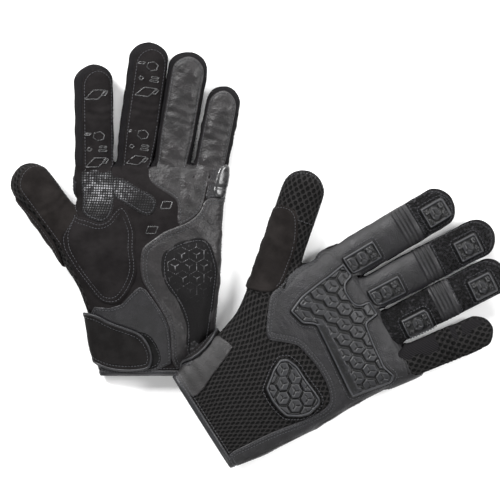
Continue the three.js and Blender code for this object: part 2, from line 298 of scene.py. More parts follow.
def settle(glove, names, points, rounds=5):
    """Moves points onto the skin by Newton steps down the field's gradient; gives them and the
    skin's outward directions."""
    small = 0.05
    points = points.copy()
    for turn in range(rounds + 1):
        slope = np.empty_like(points)
        for axis in range(3):
            shift = np.zeros(3)
            shift[axis] = small
            ahead = field(glove, names, points + shift)
            slope[:, axis] = (ahead - field(glove, names, points - shift)) / (2 * small)
        size = np.maximum(np.linalg.norm(slope, axis=1), 1e-4)
        if turn < rounds:
            step = np.clip(field(glove, names, points) / size, -3, 3)
            points -= slope / size[:, None] * step[:, None]
    return points, slope / size[:, None]


def rest_on_floor(points, softness=0.35):
    """Heights below the floor are pressed smoothly to just above it, in the same order."""
    z = points[:, 2] / softness
    points[:, 2] = softness * np.logaddexp(0, z)
    return points


class HandChart:
    """Flat coordinates over the hand: q across, from the face's centre line, and v along."""

    def __init__(self, glove, face):
        self.glove = glove
        self.face = face * glove.back_up

    def start(self, flat):
        q = flat[:, 0] / HALF_SPREAD
        around = np.abs(q)
        over = around > 1
        share = np.clip(np.where(over, 2 - around, around), 0, 1)
        x = np.sign(q) * np.interp(share, OVAL_SHARE, OVAL_X)
        z = np.interp(share, OVAL_SHARE, OVAL_Z) * np.where(over, -1, 1)
        centre, middle, half_width, half_height = self.glove.section(flat[:, 1])
        height = middle + self.face * half_height * z
        return self.glove.to_world(centre + half_width * x, flat[:, 1], height)

    def __call__(self, flat):
        return settle(self.glove, DIGITS, self.start(flat))

    def spread(self, outline):
        """Plan coordinates turned to this chart's. What is past the side wraps round it."""
        outline = np.array(outline, float)
        centre, _, half_width, _ = self.glove.section(outline[:, 1])
        x = (outline[:, 0] - centre) / half_width
        inside = np.interp(np.minimum(np.abs(x), 1), OVAL_X, OVAL_SHARE)
        share = inside + np.maximum(np.abs(x) - 1, 0) * 1.1
        return np.column_stack([np.sign(x) * share * HALF_SPREAD, outline[:, 1]])


class DigitChart:
    """Flat coordinates over a digit: c round it, from the face's centre line, and s along."""

    def __init__(self, glove, name, face):
        self.glove = glove
        self.digit = glove.digits[name]
        self.face = face * glove.back_up

    def start(self, flat):
        digit = self.digit
        angle = flat[:, 0] / digit.quarter * (math.pi / 2)
        beyond = np.clip((flat[:, 1] - (digit.length - TIP_ROUND)) / TIP_ROUND, 0, 1)
        shrink = np.sqrt(np.maximum(1 - beyond**2, 1e-5))
        x = digit.half_width(flat[:, 1]) * np.sin(angle) * shrink
        z = digit.half_height * np.cos(angle) * shrink * self.face
        points = digit.root + flat[:, 1:2] * digit.along + x[:, None] * digit.across
        points[:, 2] += z
        return points

    def __call__(self, flat):
        return settle(self.glove, (self.digit.name,), self.start(flat))


# ---------------------------------------------------------------- outlines


def rounded(outline, rounds=2):
    """Cuts every corner at a quarter and three quarters of each side, a few times over."""
    points = np.array(outline, float)
    for _ in range(rounds):
        after = np.roll(points, -1, axis=0)
        points = np.stack([0.75 * points + 0.25 * after, 0.25 * points + 0.75 * after], 1)
        points = points.reshape(-1, 2)
    return points


def eased(outline, radius=1.6):
    """Turns each corner of a closed outline into a short curve that starts a radius from it."""
    points = np.array(outline, float)
    before, after = np.roll(points, 1, axis=0) - points, np.roll(points, -1, axis=0) - points
    steps = []
    for way in (before, after):
        size = np.linalg.norm(way, axis=1)[:, None]
        steps.append(way / size * np.minimum(radius, 0.45 * size))
    curve = [
        points + steps[0] * (1 - t) ** 2 + steps[1] * t**2 for t in np.linspace(0, 1, 5)
    ]
    return np.stack(curve, 1).reshape(-1, 2)


def resampled(path, step):
    """The path's points at even steps along it."""
    path = np.asarray(path, float)
    length = np.concatenate([[0], np.cumsum(np.linalg.norm(np.diff(path, axis=0), axis=1))])
    count = max(2, int(round(length[-1] / step)) + 1)
    t = np.linspace(0, length[-1], count)
    return np.column_stack([np.interp(t, length, path[:, k]) for k in range(path.shape[1])])


def resampled_loop(outline, step):
    return resampled(np.vstack([outline, outline[:1]]), step)[:-1]


def nearest_on(points, outline):
    """Each point's nearest place on a closed outline, its distance, and whether it is inside."""
    a = outline
    b = np.roll(outline, -1, axis=0)
    side = b - a
    size = np.maximum((side**2).sum(1), 1e-12)
    best = np.empty_like(points)
    distance = np.empty(len(points))
    inside = np.empty(len(points), bool)
    for low in range(0, len(points), 20000):
        p = points[low : low + 20000]
        rel = p[:, None, :] - a[None]
        t = np.clip((rel * side[None]).sum(2) / size, 0, 1)
        foot = a[None] + t[:, :, None] * side[None]
        gap = ((p[:, None, :] - foot) ** 2).sum(2)
        pick = gap.argmin(1)
        rows = np.arange(len(p))
        best[low : low + 20000] = foot[rows, pick]
        distance[low : low + 20000] = np.sqrt(gap[rows, pick])
        crosses = (a[None, :, 1] > p[:, None, 1]) != (b[None, :, 1] > p[:, None, 1])
        rise = np.where(np.abs(side[:, 1]) < 1e-12, 1e-12, side[:, 1])
        at = a[None, :, 0] + (p[:, None, 1] - a[None, :, 1]) * (side[:, 0] / rise)[None]
        inside[low : low + 20000] = ((crosses & (p[:, None, 0] < at)).sum(1) % 2) == 1
    return best, distance, inside


def roll(depth, radius):
    """0 at the edge to 1 a radius inside it, round like a quarter circle."""
    t = np.clip(depth / radius, 0, 1)
    return np.sqrt(np.maximum(1 - (1 - t) ** 2, 0))


def ramp(x, low, high):
    """A smooth step from 0 at low to 1 at high."""
    t = np.clip((x - low) / (high - low), 0, 1)
    return t * t * (3 - 2 * t)


def waves(flat, seed, scale, count=9):
    """Soft uneven relief: a sum of sine waves with set directions, lengths and phases."""
    draw = np.random.default_rng(seed)
    angle = draw.uniform(0, 2 * math.pi, count)
    length = scale * draw.uniform(0.5, 1.6, count)
    phase = draw.uniform(0, 2 * math.pi, count)
    along = flat[:, :1] * np.cos(angle) + flat[:, 1:2] * np.sin(angle)
    return np.sin(along * (2 * math.pi / length) + phase).sum(1) / math.sqrt(count)


# ---------------------------------------------------------------- mesh makers

MATERIALS = {}


def build_mesh(name, points, face_sets, material, uv=None, shade=None):
    """A smooth-shaded mesh object from points in mm and arrays of equal-sided faces."""
    face_sets = [np.asarray(faces, np.int32) for faces in face_sets if len(faces)]
    loops = np.concatenate([faces.ravel() for faces in face_sets])
    sizes = np.concatenate([np.full(len(faces), faces.shape[1]) for faces in face_sets])
    starts = np.concatenate([[0], np.cumsum(sizes)[:-1]]).astype(np.int32)
    mesh = bpy.data.meshes.new(name)
    mesh.vertices.add(len(points))
    mesh.vertices.foreach_set("co", (np.asarray(points) * MM).astype(np.float32).ravel())
    mesh.loops.add(len(loops))
    mesh.loops.foreach_set("vertex_index", loops)
    mesh.polygons.add(len(sizes))
    mesh.polygons.foreach_set("loop_start", starts)
    mesh.polygons.foreach_set("use_smooth", np.ones(len(sizes), bool))
    if uv is not None:
        layer = mesh.uv_layers.new(name="skin")
        layer.data.foreach_set("uv", (uv[loops] * 0.01).astype(np.float32).ravel())
    if shade is not None:
        layer = mesh.attributes.new("shade", "FLOAT", "POINT")
        layer.data.foreach_set("value", shade.astype(np.float32))
    mesh.update(calc_edges=True)
    mesh.validate()
    mesh.materials.append(MATERIALS[material])
    obj = bpy.data.objects.new(name, mesh)
    bpy.context.scene.collection.objects.link(obj)
    return obj


def closed_panel(name, points, normals, faces, thickness, material, flat, shade):
    """A sheet given a thickness below it. The rim along its open edges has points of its own,
    so that the shading of the face runs straight up to the edge."""
    used = np.unique(faces)
    number = np.zeros(len(points), np.int64)
    number[used] = np.arange(len(used))
    faces = number[faces]
    points, normals, flat, shade = points[used], normals[used], flat[used], shade[used]
    count = len(points)
    a = faces.ravel()
    b = np.roll(faces, -1, axis=1).ravel()
    open_edge = ~np.isin(a * count + b, b * count + a)
    a, b = a[open_edge], b[open_edge]
    quads = np.arange(len(a))[:, None] + 2 * count + np.arange(4)[None] * len(a)
    corners = np.concatenate([b, a, a + count, b + count])
    both = rest_on_floor(np.concatenate([points, points - normals * thickness]))
    both = np.concatenate([both, both[corners]])
    flat, shade = (np.concatenate([k, k])[np.arange(2 * count)] for k in (flat, shade))
    flat, shade = (np.concatenate([k, k[corners]]) for k in (flat, shade))
    face_sets = [faces, faces[:, ::-1] + count, quads]
    return build_mesh(name, both, face_sets, material, flat, shade)


def facing_out(points, faces, normals):
    """Turns the faces round if they run against the skin's outward direction."""
    a, b, d = (points[faces[:, k]] for k in (0, 1, 3))
    turn = (np.cross(b - a, d - a) * normals[faces[:, 0]]).sum()
    return faces if turn > 0 else faces[:, ::-1]


def patch(name, chart, outline, rise, material, spacing=0.8, thickness=0.5, cut=None):
    """A panel: the cells of an even grid whose centres are inside the outline, with the rim's
    points moved onto the outline, laid on the skin and lifted by rise(flat, depth). A cut is a
    height at which the panel is made in two pieces that meet row to row."""
    low = outline.min(0) - spacing
    if cut is not None:
        low[1] = cut - spacing * math.ceil((cut - low[1]) / spacing)
    counts = np.ceil((outline.max(0) + spacing - low) / spacing).astype(int) + 1
    x = low[0] + spacing * np.arange(counts[0])
    y = low[1] + spacing * np.arange(counts[1])
    grid = np.stack(np.meshgrid(x, y, indexing="ij"), -1)
    centres = (grid[:-1, :-1] + spacing / 2).reshape(-1, 2)
    cells = nearest_on(centres, outline)[2].reshape(counts[0] - 1, counts[1] - 1)
    touching = np.zeros(counts, int)
    for dx in (0, 1):
        for dy in (0, 1):
            touching[dx : dx + cells.shape[0], dy : dy + cells.shape[1]] += cells
    used = touching > 0
    number = np.full(counts, -1)
    number[used] = np.arange(used.sum())
    flat = grid[used].reshape(-1, 2)
    rim = touching[used] < 4
    best, depth, inside = nearest_on(flat, outline)
    flat[rim] = best[rim]
    depth[rim | ~inside] = 0
    i, j = np.nonzero(cells)
    corners = (number[i, j], number[i + 1, j], number[i + 1, j + 1], number[i, j + 1])
    faces = np.stack(corners, 1)
    points, normals = chart(flat)
    height, shade = rise(flat, depth)
    faces = facing_out(points, faces, normals)
    points = points + normals * height[:, None]
    if cut is None:
        return closed_panel(name, points, normals, faces, thickness, material, flat, shade)
    upper = centres.reshape(cells.shape + (2,))[i, j, 1] > cut
    return [
        closed_panel(name + tag, points, normals, faces[part], thickness, material, flat, shade)
        for tag, part in (("_lower", ~upper), ("_upper", upper))
        if part.any()
    ]


def tube(name, chart, reach, s_values, around, rise, material, thickness, cut_row=None):
    """Rows of points round a digit or the hand, as a shell with its own thickness. Its reach is
    half the way round."""
    c = np.arange(around) / around * 2 * reach - reach
    flat = np.stack(np.meshgrid(s_values, c, indexing="ij")[::-1], -1).reshape(-1, 2)
    points, normals = chart(flat)
    height, shade = rise(flat)
    points = points + normals * height[:, None]
    rows = len(s_values)
    k = np.arange(around)
    r = np.arange(rows - 1)[:, None] * around
    after = (k + 1) % around
    faces = np.stack([r + k, r + after, r + around + after, r + around + k], -1).reshape(-1, 4)
    faces = facing_out(points, faces, normals)
    if cut_row is None:
        return closed_panel(name, points, normals, faces, thickness, material, flat, shade)
    row = faces.min(1) // around
    parts = (("_lower", row < cut_row), ("_upper", row >= cut_row))
    return [
        closed_panel(name + tag, points, normals, faces[part], thickness, material, flat, shade)
        for tag, part in parts
    ]


def strip(name, path, normals, profile, material):
    """A closed profile of (across, up) points carried round a closed path on the skin."""
    tangent = np.roll(path, -1, axis=0) - np.roll(path, 1, axis=0)
    tangent /= np.linalg.norm(tangent, axis=1)[:, None]
    side = np.cross(tangent, normals)
    side /= np.maximum(np.linalg.norm(side, axis=1)[:, None], 1e-9)
    profile = np.asarray(profile, float)
    points = (
        path[:, None]
        + side[:, None] * profile[None, :, :1]
        + normals[:, None] * profile[None, :, 1:2]
    ).reshape(-1, 3)
    rows, columns = len(path), len(profile)
    gaps = np.linalg.norm(np.diff(path, axis=0), axis=1)
    length = np.concatenate([[0], np.cumsum(gaps)])
    uv = np.stack(np.meshgrid(length, np.arange(columns) * 1.0, indexing="ij"), -1)
    r = np.arange(rows)[:, None]
    k = np.arange(columns)[None]
    ahead = (r + 1) % rows
    after = (k + 1) % columns
    here = (r * columns + k, r * columns + after, ahead * columns + after, ahead * columns + k)
    faces = np.stack(here, -1).reshape(-1, 4)
    return build_mesh(name, rest_on_floor(points), [faces], material, uv.reshape(-1, 2))


def circle(radius, sides, turn=0.0):
    angle = turn + np.arange(sides) / sides * 2 * math.pi
    return radius * np.column_stack([np.cos(angle), np.sin(angle)])


STITCH_LENGTH = 1.75
STITCH_PITCH = 2.3
STITCH_WIDTH = 0.5
BEAD_SIDES = 6
BEAD_RINGS = ((-0.5, 0.15), (-0.28, 1.0), (0.28, 1.0), (0.5, 0.15))  # share along, and wide
SEAM_STEP = 0.9  # between a seam's points


def stitch_mesh(name, rows):
    """Sewn stitches: along each (path, normals) row, one small rounded bead for each pitch."""
    n = BEAD_SIDES
    bead = np.vstack([
        np.column_stack([np.full(n, at * STITCH_LENGTH), circle(wide * STITCH_WIDTH / 2, n)])
        for at, wide in BEAD_RINGS
    ])
    k = np.arange(n)
    r = np.arange(len(BEAD_RINGS) - 1)[:, None] * n
    bead_faces = np.stack([r + k, r + (k + 1) % n, r + n + (k + 1) % n, r + n + k], -1)
    bead_faces = bead_faces.reshape(-1, 4)
    beads = []
    for path, normals in rows:
        way = np.concatenate([[0], np.cumsum(np.linalg.norm(np.diff(path, axis=0), axis=1))])
        at = np.arange(STITCH_PITCH / 2, way[-1] - STITCH_PITCH / 4, STITCH_PITCH)

        def along(where, values):
            return np.column_stack([np.interp(where, way, values[:, j]) for j in range(3)])

        tangent = along(at + 0.4, path) - along(at - 0.4, path)
        tangent /= np.maximum(np.linalg.norm(tangent, axis=1)[:, None], 1e-9)
        side = np.cross(along(at, normals), tangent)
        side /= np.maximum(np.linalg.norm(side, axis=1)[:, None], 1e-9)
        up = np.cross(tangent, side)
        points = along(at, path)[:, None] + sum(
            axis[:, None] * bead[None, :, j : j + 1] for j, axis in enumerate((tangent, side, up))
        )
        beads.append(points.reshape(-1, 3))
    points = rest_on_floor(np.concatenate(beads))
    starts = np.arange(len(points) // len(bead))[:, None, None] * len(bead)
    faces = (bead_faces[None] + starts).reshape(-1, 4)
    caps = np.stack([k[::-1], len(bead) - n + k])
    return build_mesh(name, points, [faces, (caps[None] + starts).reshape(-1, n)], "thread")


def inset(outline, distance):
    """A closed outline moved inwards, and where that doesn't make it cross itself."""
    outline = resampled_loop(outline, SEAM_STEP)
    ahead = np.roll(outline, -1, axis=0) - np.roll(outline, 1, axis=0)
    ahead /= np.maximum(np.linalg.norm(ahead, axis=1)[:, None], 1e-9)
    area = (outline[:, 0] * np.roll(outline[:, 1], -1)).sum()
    area -= (outline[:, 1] * np.roll(outline[:, 0], -1)).sum()
    inward = np.column_stack([-ahead[:, 1], ahead[:, 0]]) * np.sign(area)
    moved = outline + inward * distance
    _, depth, inside = nearest_on(moved, outline)
    keep = (inside == (distance > 0)) & (depth > 0.93 * abs(distance))
    return moved, keep


STITCHES = {}  # (glove, body) to its rows of stitches: points above the skin, and its normals
ROOT_SEAM = 2.0  # no stitches on a digit's panels below this
FINGER_LINE = 142.0  # and none on the hand's above this


def sew(glove, part, chart, path, lift, keep=None, cut=None):
    """Adds a row of stitches along a path in a chart's coordinates. Where keep is False, or the
    row crosses the cut, it is parted."""
    path = np.asarray(path, float)
    if keep is None:
        path = resampled(path, SEAM_STEP)
        keep = np.ones(len(path), bool)
    points, normals = chart(path)
    points = points + normals * lift
    side = path[:, 1] > cut if cut is not None else np.zeros(len(path), bool)
    label = np.where(keep, 1 + side, 0)
    edges = np.flatnonzero(np.diff(label)) + 1
    for piece in np.split(np.arange(len(path)), edges):
        if label[piece[0]] == 0 or len(piece) < 4:
            continue
        tag = "" if cut is None else ("_lower", "_upper")[int(side[piece[0]])]
        STITCHES.setdefault((glove.side, part + tag), []).append((points[piece], normals[piece]))


def sew_round(glove, part, chart, outline, distance, lift, cut=None):
    """A row of stitches inside an outline, or outside it, but not across the finger roots."""
    moved, keep = inset(outline, distance)
    keep &= moved[:, 1] > ROOT_SEAM if part in DIGITS else moved[:, 1] < FINGER_LINE
    sew(glove, part, chart, moved, lift, keep, cut)


# ---------------------------------------------------------------- surfaces of the materials


class Surface:
    """A short way to write a node material."""

    def __init__(self, name, slot, roughness=0.8, sheen=0.0, specular=0.5):
        self.material = bpy.data.materials.new(name)
        self.material.use_nodes = True
        self.tree = self.material.node_tree
        self.shader = self.tree.nodes["Principled BSDF"]
        self.shader.inputs["Roughness"].default_value = roughness
        self.shader.inputs["Specular IOR Level"].default_value = specular
        self.shader.inputs["Sheen Weight"].default_value = sheen
        self.shader.inputs["Sheen Roughness"].default_value = 0.45
        MATERIALS[name] = self.material

    def node(self, kind, settings=None, **inputs):
        node = self.tree.nodes.new(kind)
        for key, value in (settings or {}).items():
            setattr(node, key, value)
        for key, value in inputs.items():
            socket = node.inputs[int(key[1:])] if key[0] == "i" and key[1:].isdigit() else None
            socket = socket or node.inputs[key.replace("_", " ")]
            if isinstance(value, bpy.types.NodeSocket):
                self.tree.links.new(value, socket)
            else:
                socket.default_value = value
        return node

    def place(self):
        """Object coordinates in mm."""
        coordinates = self.node("ShaderNodeTexCoord").outputs["Object"]
        return self.scaled(coordinates, (1000, 1000, 1000))

    def skin(self, scale=(1, 1, 1), turn=0.0):
        """The panel's own coordinates in mm, scaled and then turned."""
        uv = self.node("ShaderNodeUVMap", {"uv_map": "skin"}).outputs["UV"]
        return self.scaled(uv, tuple(100 * k for k in scale), turn)

    def scaled(self, vector, scale, turn=0.0):
        node = self.node("ShaderNodeMapping", Vector=vector, Scale=scale, Rotation=(0, 0, turn))
        return node.outputs["Vector"]

    def noise(self, vector, size, detail=3.0, roughness=0.55):
        """Fractal noise whose biggest features are about size mm."""
        node = self.node(
            "ShaderNodeTexNoise", Vector=vector, Scale=1 / size, Detail=detail, Roughness=roughness
        )
        return node.outputs["Fac"]

    def cells(self, vector, size):
        """The distance to the nearest of scattered points, about size mm apart."""
        node = self.node("ShaderNodeTexVoronoi", Vector=vector, Scale=1 / size)
        return node.outputs["Distance"]

    def bands(self, vector, direction, pitch, **inputs):
        """Soft waves across a direction, pitch mm apart."""
        node = self.node("ShaderNodeTexWave", {"bands_direction": direction}, Vector=vector,
                         Scale=0.5 / pitch, **inputs)
        return node.outputs["Fac"]

    def maths(self, operation, *values):
        inputs = {f"i{k}": value for k, value in enumerate(values)}
        return self.node("ShaderNodeMath", {"operation": operation}, **inputs).outputs[0]

    def levels(self, value, low, high, to_low=0.0, to_high=1.0):
        """A clamped smooth map of low..high onto to_low..to_high."""
        node = self.node(
            "ShaderNodeMapRange",
            {"interpolation_type": "SMOOTHSTEP"},
            i0=value,
            i1=low,
            i2=high,
            i3=to_low,
            i4=to_high,
        )
        return node.outputs[0]

    def mix(self, share, dark, light):
        node = self.node("ShaderNodeMix", {"data_type": "RGBA"})
        for socket, value in ((node.inputs[0], share), (node.inputs[6], dark),
                              (node.inputs[7], light)):
            if isinstance(value, bpy.types.NodeSocket):
                self.tree.links.new(value, socket)
            else:
                socket.default_value = value if isinstance(value, float) else (*value, 1.0)
        return node.outputs[2]

    def attribute(self, name):
        return self.node("ShaderNodeAttribute", {"attribute_name": name}).outputs["Fac"]

    def colour(self, value):
        if isinstance(value, bpy.types.NodeSocket):
            self.tree.links.new(value, self.shader.inputs["Base Color"])
        else:
            self.shader.inputs["Base Color"].default_value = (*value, 1.0)

    def roughness(self, value):
        self.tree.links.new(value, self.shader.inputs["Roughness"])

    def bump(self, *layers):
        """Bump layers of (height, depth in mm), one on the other."""
        normal = None
        for height, depth in layers:
            node = self.node("ShaderNodeBump", Height=height, Distance=depth * MM)
            node.inputs["Strength"].default_value = 1.0
            if normal is not None:
                self.tree.links.new(normal, node.inputs["Normal"])
            normal = node.outputs["Normal"]
        self.tree.links.new(normal, self.shader.inputs["Normal"])


def grained_leather(name, dark, light, roughness, grain, depth, worn=0.25, specular=0.35):
    """Leather: pebbled cells with fine creases between them, cloudy in colour, its raised edges and
    crease tops a little paler and smoother, partly wear and partly a painted highlight, and nearly
    black where a stitch row is sunk, which is painted shade."""
    s = Surface(name, name, roughness, specular=specular)
    place = s.place()
    cloud = s.noise(place, 9.0, 4.0)
    pebble = s.cells(place, grain)
    fine = s.noise(place, 0.35, 3.0)
    crease = s.levels(s.noise(place, 5.0, 5.0, 0.6), 0.46, 0.54)
    # From the shade attribute: paler on raised edges and crease tops, partly wear and partly a
    # painted highlight.
    brightening = s.maths("MULTIPLY", s.attribute("shade"), s.levels(cloud, 0.35, 0.7, 0.3, 1.0))
    base = s.mix(s.levels(cloud, 0.3, 0.7), dark, light)
    pale = tuple(min(1.0, 2.2 * k) for k in light)
    worn_and_highlit_base = s.mix(s.maths("MULTIPLY", brightening, worn), base, pale)
    # Nearly black in dots along a sunk stitch row: painted shade in the groove.
    groove_shade = s.levels(s.attribute("shade"), -0.75, -0.1)
    s.colour(s.mix(groove_shade, tuple(0.2 * k for k in dark), worn_and_highlit_base))
    s.roughness(s.levels(s.maths("ADD", cloud, brightening), 0.3, 1.4, roughness + 0.08, roughness - 0.12))
    s.bump((fine, 0.05), (pebble, depth), (crease, 0.05))


def napped_suede(name, dark, light, sheen):
    """Microfibre: a short nap brushed this way and that, with soft light and dark clouds."""
    s = Surface(name, name, 0.95, sheen=sheen, specular=0.08)
    s.shader.inputs["Sheen Tint"].default_value = (0.4, 0.4, 0.42, 1)
    place = s.place()
    cloud = s.noise(place, 14.0, 4.0, 0.6)
    nap = s.noise(place, 0.45, 4.0, 0.7)
    uneven = s.levels(s.maths("ADD", cloud, s.maths("MULTIPLY", nap, 0.4)), 0.45, 0.95)
    s.colour(s.mix(uneven, dark, light))
    s.bump((nap, 0.16), (s.noise(place, 2.6, 3.0), 0.12))


# name: dark and light colour, roughness, grain in mm, its depth, and for some the strength of the
# paler edges and crease tops (wear and painted highlight) and specular
LEATHERS = {
    "leather": ((0.0045, 0.0043, 0.0050), (0.0085, 0.008, 0.0095), 0.46, 0.85, 0.16, 0.35),
    "palm_leather": ((0.0062, 0.0056, 0.006), (0.0150, 0.0135, 0.0142), 0.44, 1.3, 0.12, 0.45),
    "binding": ((0.009, 0.009, 0.010), (0.016, 0.016, 0.018), 0.36, 1.1, 0.04),
    "strap": ((0.0042, 0.0036, 0.0036), (0.008, 0.0072, 0.0072), 0.62, 0.9, 0.08, 0.25, 0.1),
    "elastic": ((0.0085, 0.008, 0.0082), (0.015, 0.014, 0.0145), 0.5, 0.85, 0.16),
}
SUEDES = {  # name: dark and light colour, sheen
    "suede": ((0.0056, 0.0048, 0.005), (0.0115, 0.0102, 0.0105), 0.02),
    "thumb_suede": ((0.0066, 0.0055, 0.0053), (0.0145, 0.0125, 0.012), 0.03),
    "fastener": ((0.004, 0.004, 0.004), (0.010, 0.010, 0.010), 0.04),
    "lining": ((0.008, 0.008, 0.0085), (0.015, 0.015, 0.016), 0.04),
}
MESH_HOLES = (2.9, 4.4)  # the air mesh's openings across and along, mm
RIB_PITCH = 1.5
RIB_LOOP = 0.9
WEAVE_PITCH = 0.95
DOT_PITCH = 1.8
BLACK = (0.0, 0.0, 0.0)
WHITE = (1.0, 1.0, 1.0)


def air_mesh():
    """Spacer mesh: rows of openings painted nearly black as painted shade in the holes, each set
    between two of the next row, in pale yarn.
    """
    s = Surface("mesh", "mesh", 0.85, specular=0.12)
    flat = s.skin((1 / MESH_HOLES[0], 1 / MESH_HOLES[1], 1))
    turned = s.scaled(flat, (1, 1, 1), math.radians(45))
    openings = s.node("ShaderNodeTexVoronoi", {"voronoi_dimensions": "2D"}, Vector=turned,
                      Scale=1.0, Randomness=0.06).outputs["Distance"]
    hole = s.levels(openings, 0.3, 0.44, 1.0, 0.0)
    yarn = s.noise(s.place(), 0.5, 4.0, 0.7)
    thread = s.mix(s.levels(yarn, 0.35, 0.65), (0.0065, 0.006, 0.006), (0.021, 0.020, 0.020))
    # The openings nearly black: painted shade inside them.
    s.colour(s.mix(hole, thread, (0.001, 0.001, 0.001)))
    s.bump((yarn, 0.3), (hole, -1.1))


def rib_knit():
    """Ribs along the digit, crossed by the finer rows of the knit's loops."""
    s = Surface("rib_knit", "rib_knit", 0.9, specular=0.08)
    flat = s.skin()
    rib = s.bands(flat, "X", RIB_PITCH, Distortion=0.4, Detail=1.0, Detail_Scale=2.0)
    loop = s.bands(flat, "Y", RIB_LOOP, Distortion=0.6, Detail=1.0, Detail_Scale=2.0)
    # Darker in the troughs between the ribs and paler on their crests: painted shade and painted
    # highlight.
    s.colour(s.mix(rib, (0.0045, 0.0042, 0.0045), (0.0155, 0.0145, 0.016)))
    s.bump((loop, 0.1), (rib, 0.35))


def fingertip_textile():
    """A coarse slubbed weave: a diagonal check of warp and weft, with pale lumps of yarn."""
    s = Surface("textile", "textile", 0.8, specular=0.15)
    flat = s.skin(turn=math.radians(45))
    weave = s.node("ShaderNodeTexChecker", Vector=flat, Scale=1 / WEAVE_PITCH,
                   Color1=(*WHITE, 1), Color2=(*BLACK, 1)).outputs["Fac"]
    warp = s.bands(flat, "X", WEAVE_PITCH)
    weft = s.bands(flat, "Y", WEAVE_PITCH)
    over = s.node("ShaderNodeMix", {"data_type": "FLOAT"}, i0=s.mix(weave, BLACK, WHITE),
                  i2=warp, i3=weft).outputs[0]
    fleck = s.noise(s.place(), 1.9, 3.0, 0.7)
    lump = s.levels(s.maths("ADD", fleck, s.maths("MULTIPLY", over, 0.14)), 0.5, 0.68)
    s.colour(s.mix(lump, (0.0025, 0.0025, 0.0025), (0.033, 0.032, 0.035)))
    s.bump((lump, 0.7), (over, 0.2))


def grip_print():
    """Rows of square printed dots, dimmer where the shade is low and in small clouds."""
    s = Surface("grip_print", "grip_print", 0.62, specular=0.2)
    flat = s.skin((1 / DOT_PITCH, 1 / DOT_PITCH, 1), math.radians(2))
    cell = s.node("ShaderNodeTexVoronoi", {"voronoi_dimensions": "2D", "distance": "CHEBYCHEV"},
                  Vector=flat, Scale=1.0, Randomness=0.0).outputs["Distance"]
    dot = s.levels(cell, 0.27, 0.36, 1.0, 0.0)
    brightening = s.maths("MULTIPLY", s.levels(s.attribute("shade"), 0.15, 1.0, 0.05, 1.0),
                   s.levels(s.noise(s.place(), 3.5, 3.0), 0.42, 0.62, 0.12, 1.0))
    s.colour(s.mix(s.maths("MULTIPLY", dot, brightening), (0.0045, 0.0042, 0.0045), (0.22, 0.22, 0.23)))
    s.roughness(s.levels(dot, 0.0, 1.0, 0.9, 0.42))
    s.bump((s.noise(s.place(), 0.5, 3.0), 0.08), (dot, 0.22))


def silicone():
    s = Surface("silicone", "silicone", 0.28, specular=0.6)
    film = s.noise(s.place(), 3.0, 3.0)
    s.colour(s.mix(s.levels(film, 0.3, 0.7), (0.014, 0.014, 0.0145), (0.028, 0.028, 0.029)))
    s.roughness(s.levels(film, 0.3, 0.7, 0.22, 0.36))
    s.bump((s.noise(s.place(), 0.8, 2.0), 0.03))


def guard_rubber():
    """Moulded rubber: a painted highlight on its raised rims and plates, and painted shade, nearly
    black, in the channels and on its sloping outer side.
    """
    s = Surface("guard", "guard", 0.45, specular=0.4)
    place = s.place()
    cloud = s.noise(place, 18.0, 3.0)
    ridge = s.attribute("shade")
    dust = s.noise(place, 0.25, 2.0)
    base = s.mix(s.levels(cloud, 0.3, 0.7), (0.0085, 0.0085, 0.0098), (0.0125, 0.0128, 0.0145))
    # Nearly black where the shade is low, in the channels and on the outer slopes: painted shade.
    base = s.mix(s.levels(ridge, 0.05, 0.45), (0.0012, 0.0012, 0.0014), base)
    # Paler towards the tops of the rims and plates: a painted highlight.
    s.colour(s.mix(s.levels(ridge, 0.5, 1.0, 0.0, 0.6), base, (0.036, 0.037, 0.043)))
    s.roughness(s.levels(cloud, 0.3, 0.7, 0.5, 0.4))
    s.bump((dust, 0.02), (s.noise(place, 1.4, 3.0), 0.02))


def sewing_thread():
    s = Surface("thread", "thread", 0.6, sheen=0.2)
    twist = s.noise(s.place(), 0.3, 2.0)
    s.colour(s.mix(s.levels(twist, 0.3, 0.7), (0.008, 0.0085, 0.011), (0.026, 0.027, 0.034)))
    s.bump((twist, 0.05))


def printed_suede():
    """The impact pad's suede, with worn pale lines printed where the shade is high."""
    s = Surface("pad_print", "suede", 0.9, specular=0.12)
    place = s.place()
    line = s.levels(s.attribute("shade"), 0.25, 0.8)
    nap = s.noise(place, 0.45, 4.0, 0.7)
    base = s.mix(s.levels(nap, 0.3, 0.7), (0.0045, 0.0043, 0.0045), (0.010, 0.0095, 0.010))
    worn = s.maths("MULTIPLY", line, s.levels(s.noise(place, 4.0, 2.0), 0.4, 0.62, 0.12, 1.0))
    s.colour(s.mix(worn, base, (0.30, 0.30, 0.31)))
    s.roughness(s.levels(line, 0.0, 1.0, 0.92, 0.45))
    s.bump((nap, 0.14), (s.noise(place, 2.6, 3.0), 0.1))


def make_materials():
    for name, values in LEATHERS.items():
        grained_leather(name, *values)
    for name, values in SUEDES.items():
        napped_suede(name, *values)
    for make in (air_mesh, rib_knit, fingertip_textile, grip_print, silicone, guard_rubber,
                 sewing_thread, printed_suede):
        make()


# ---------------------------------------------------------------- panels of the hand
# Plan outlines in the glove's own mm: x from the thumb side, y from the cuff to the fingertips.

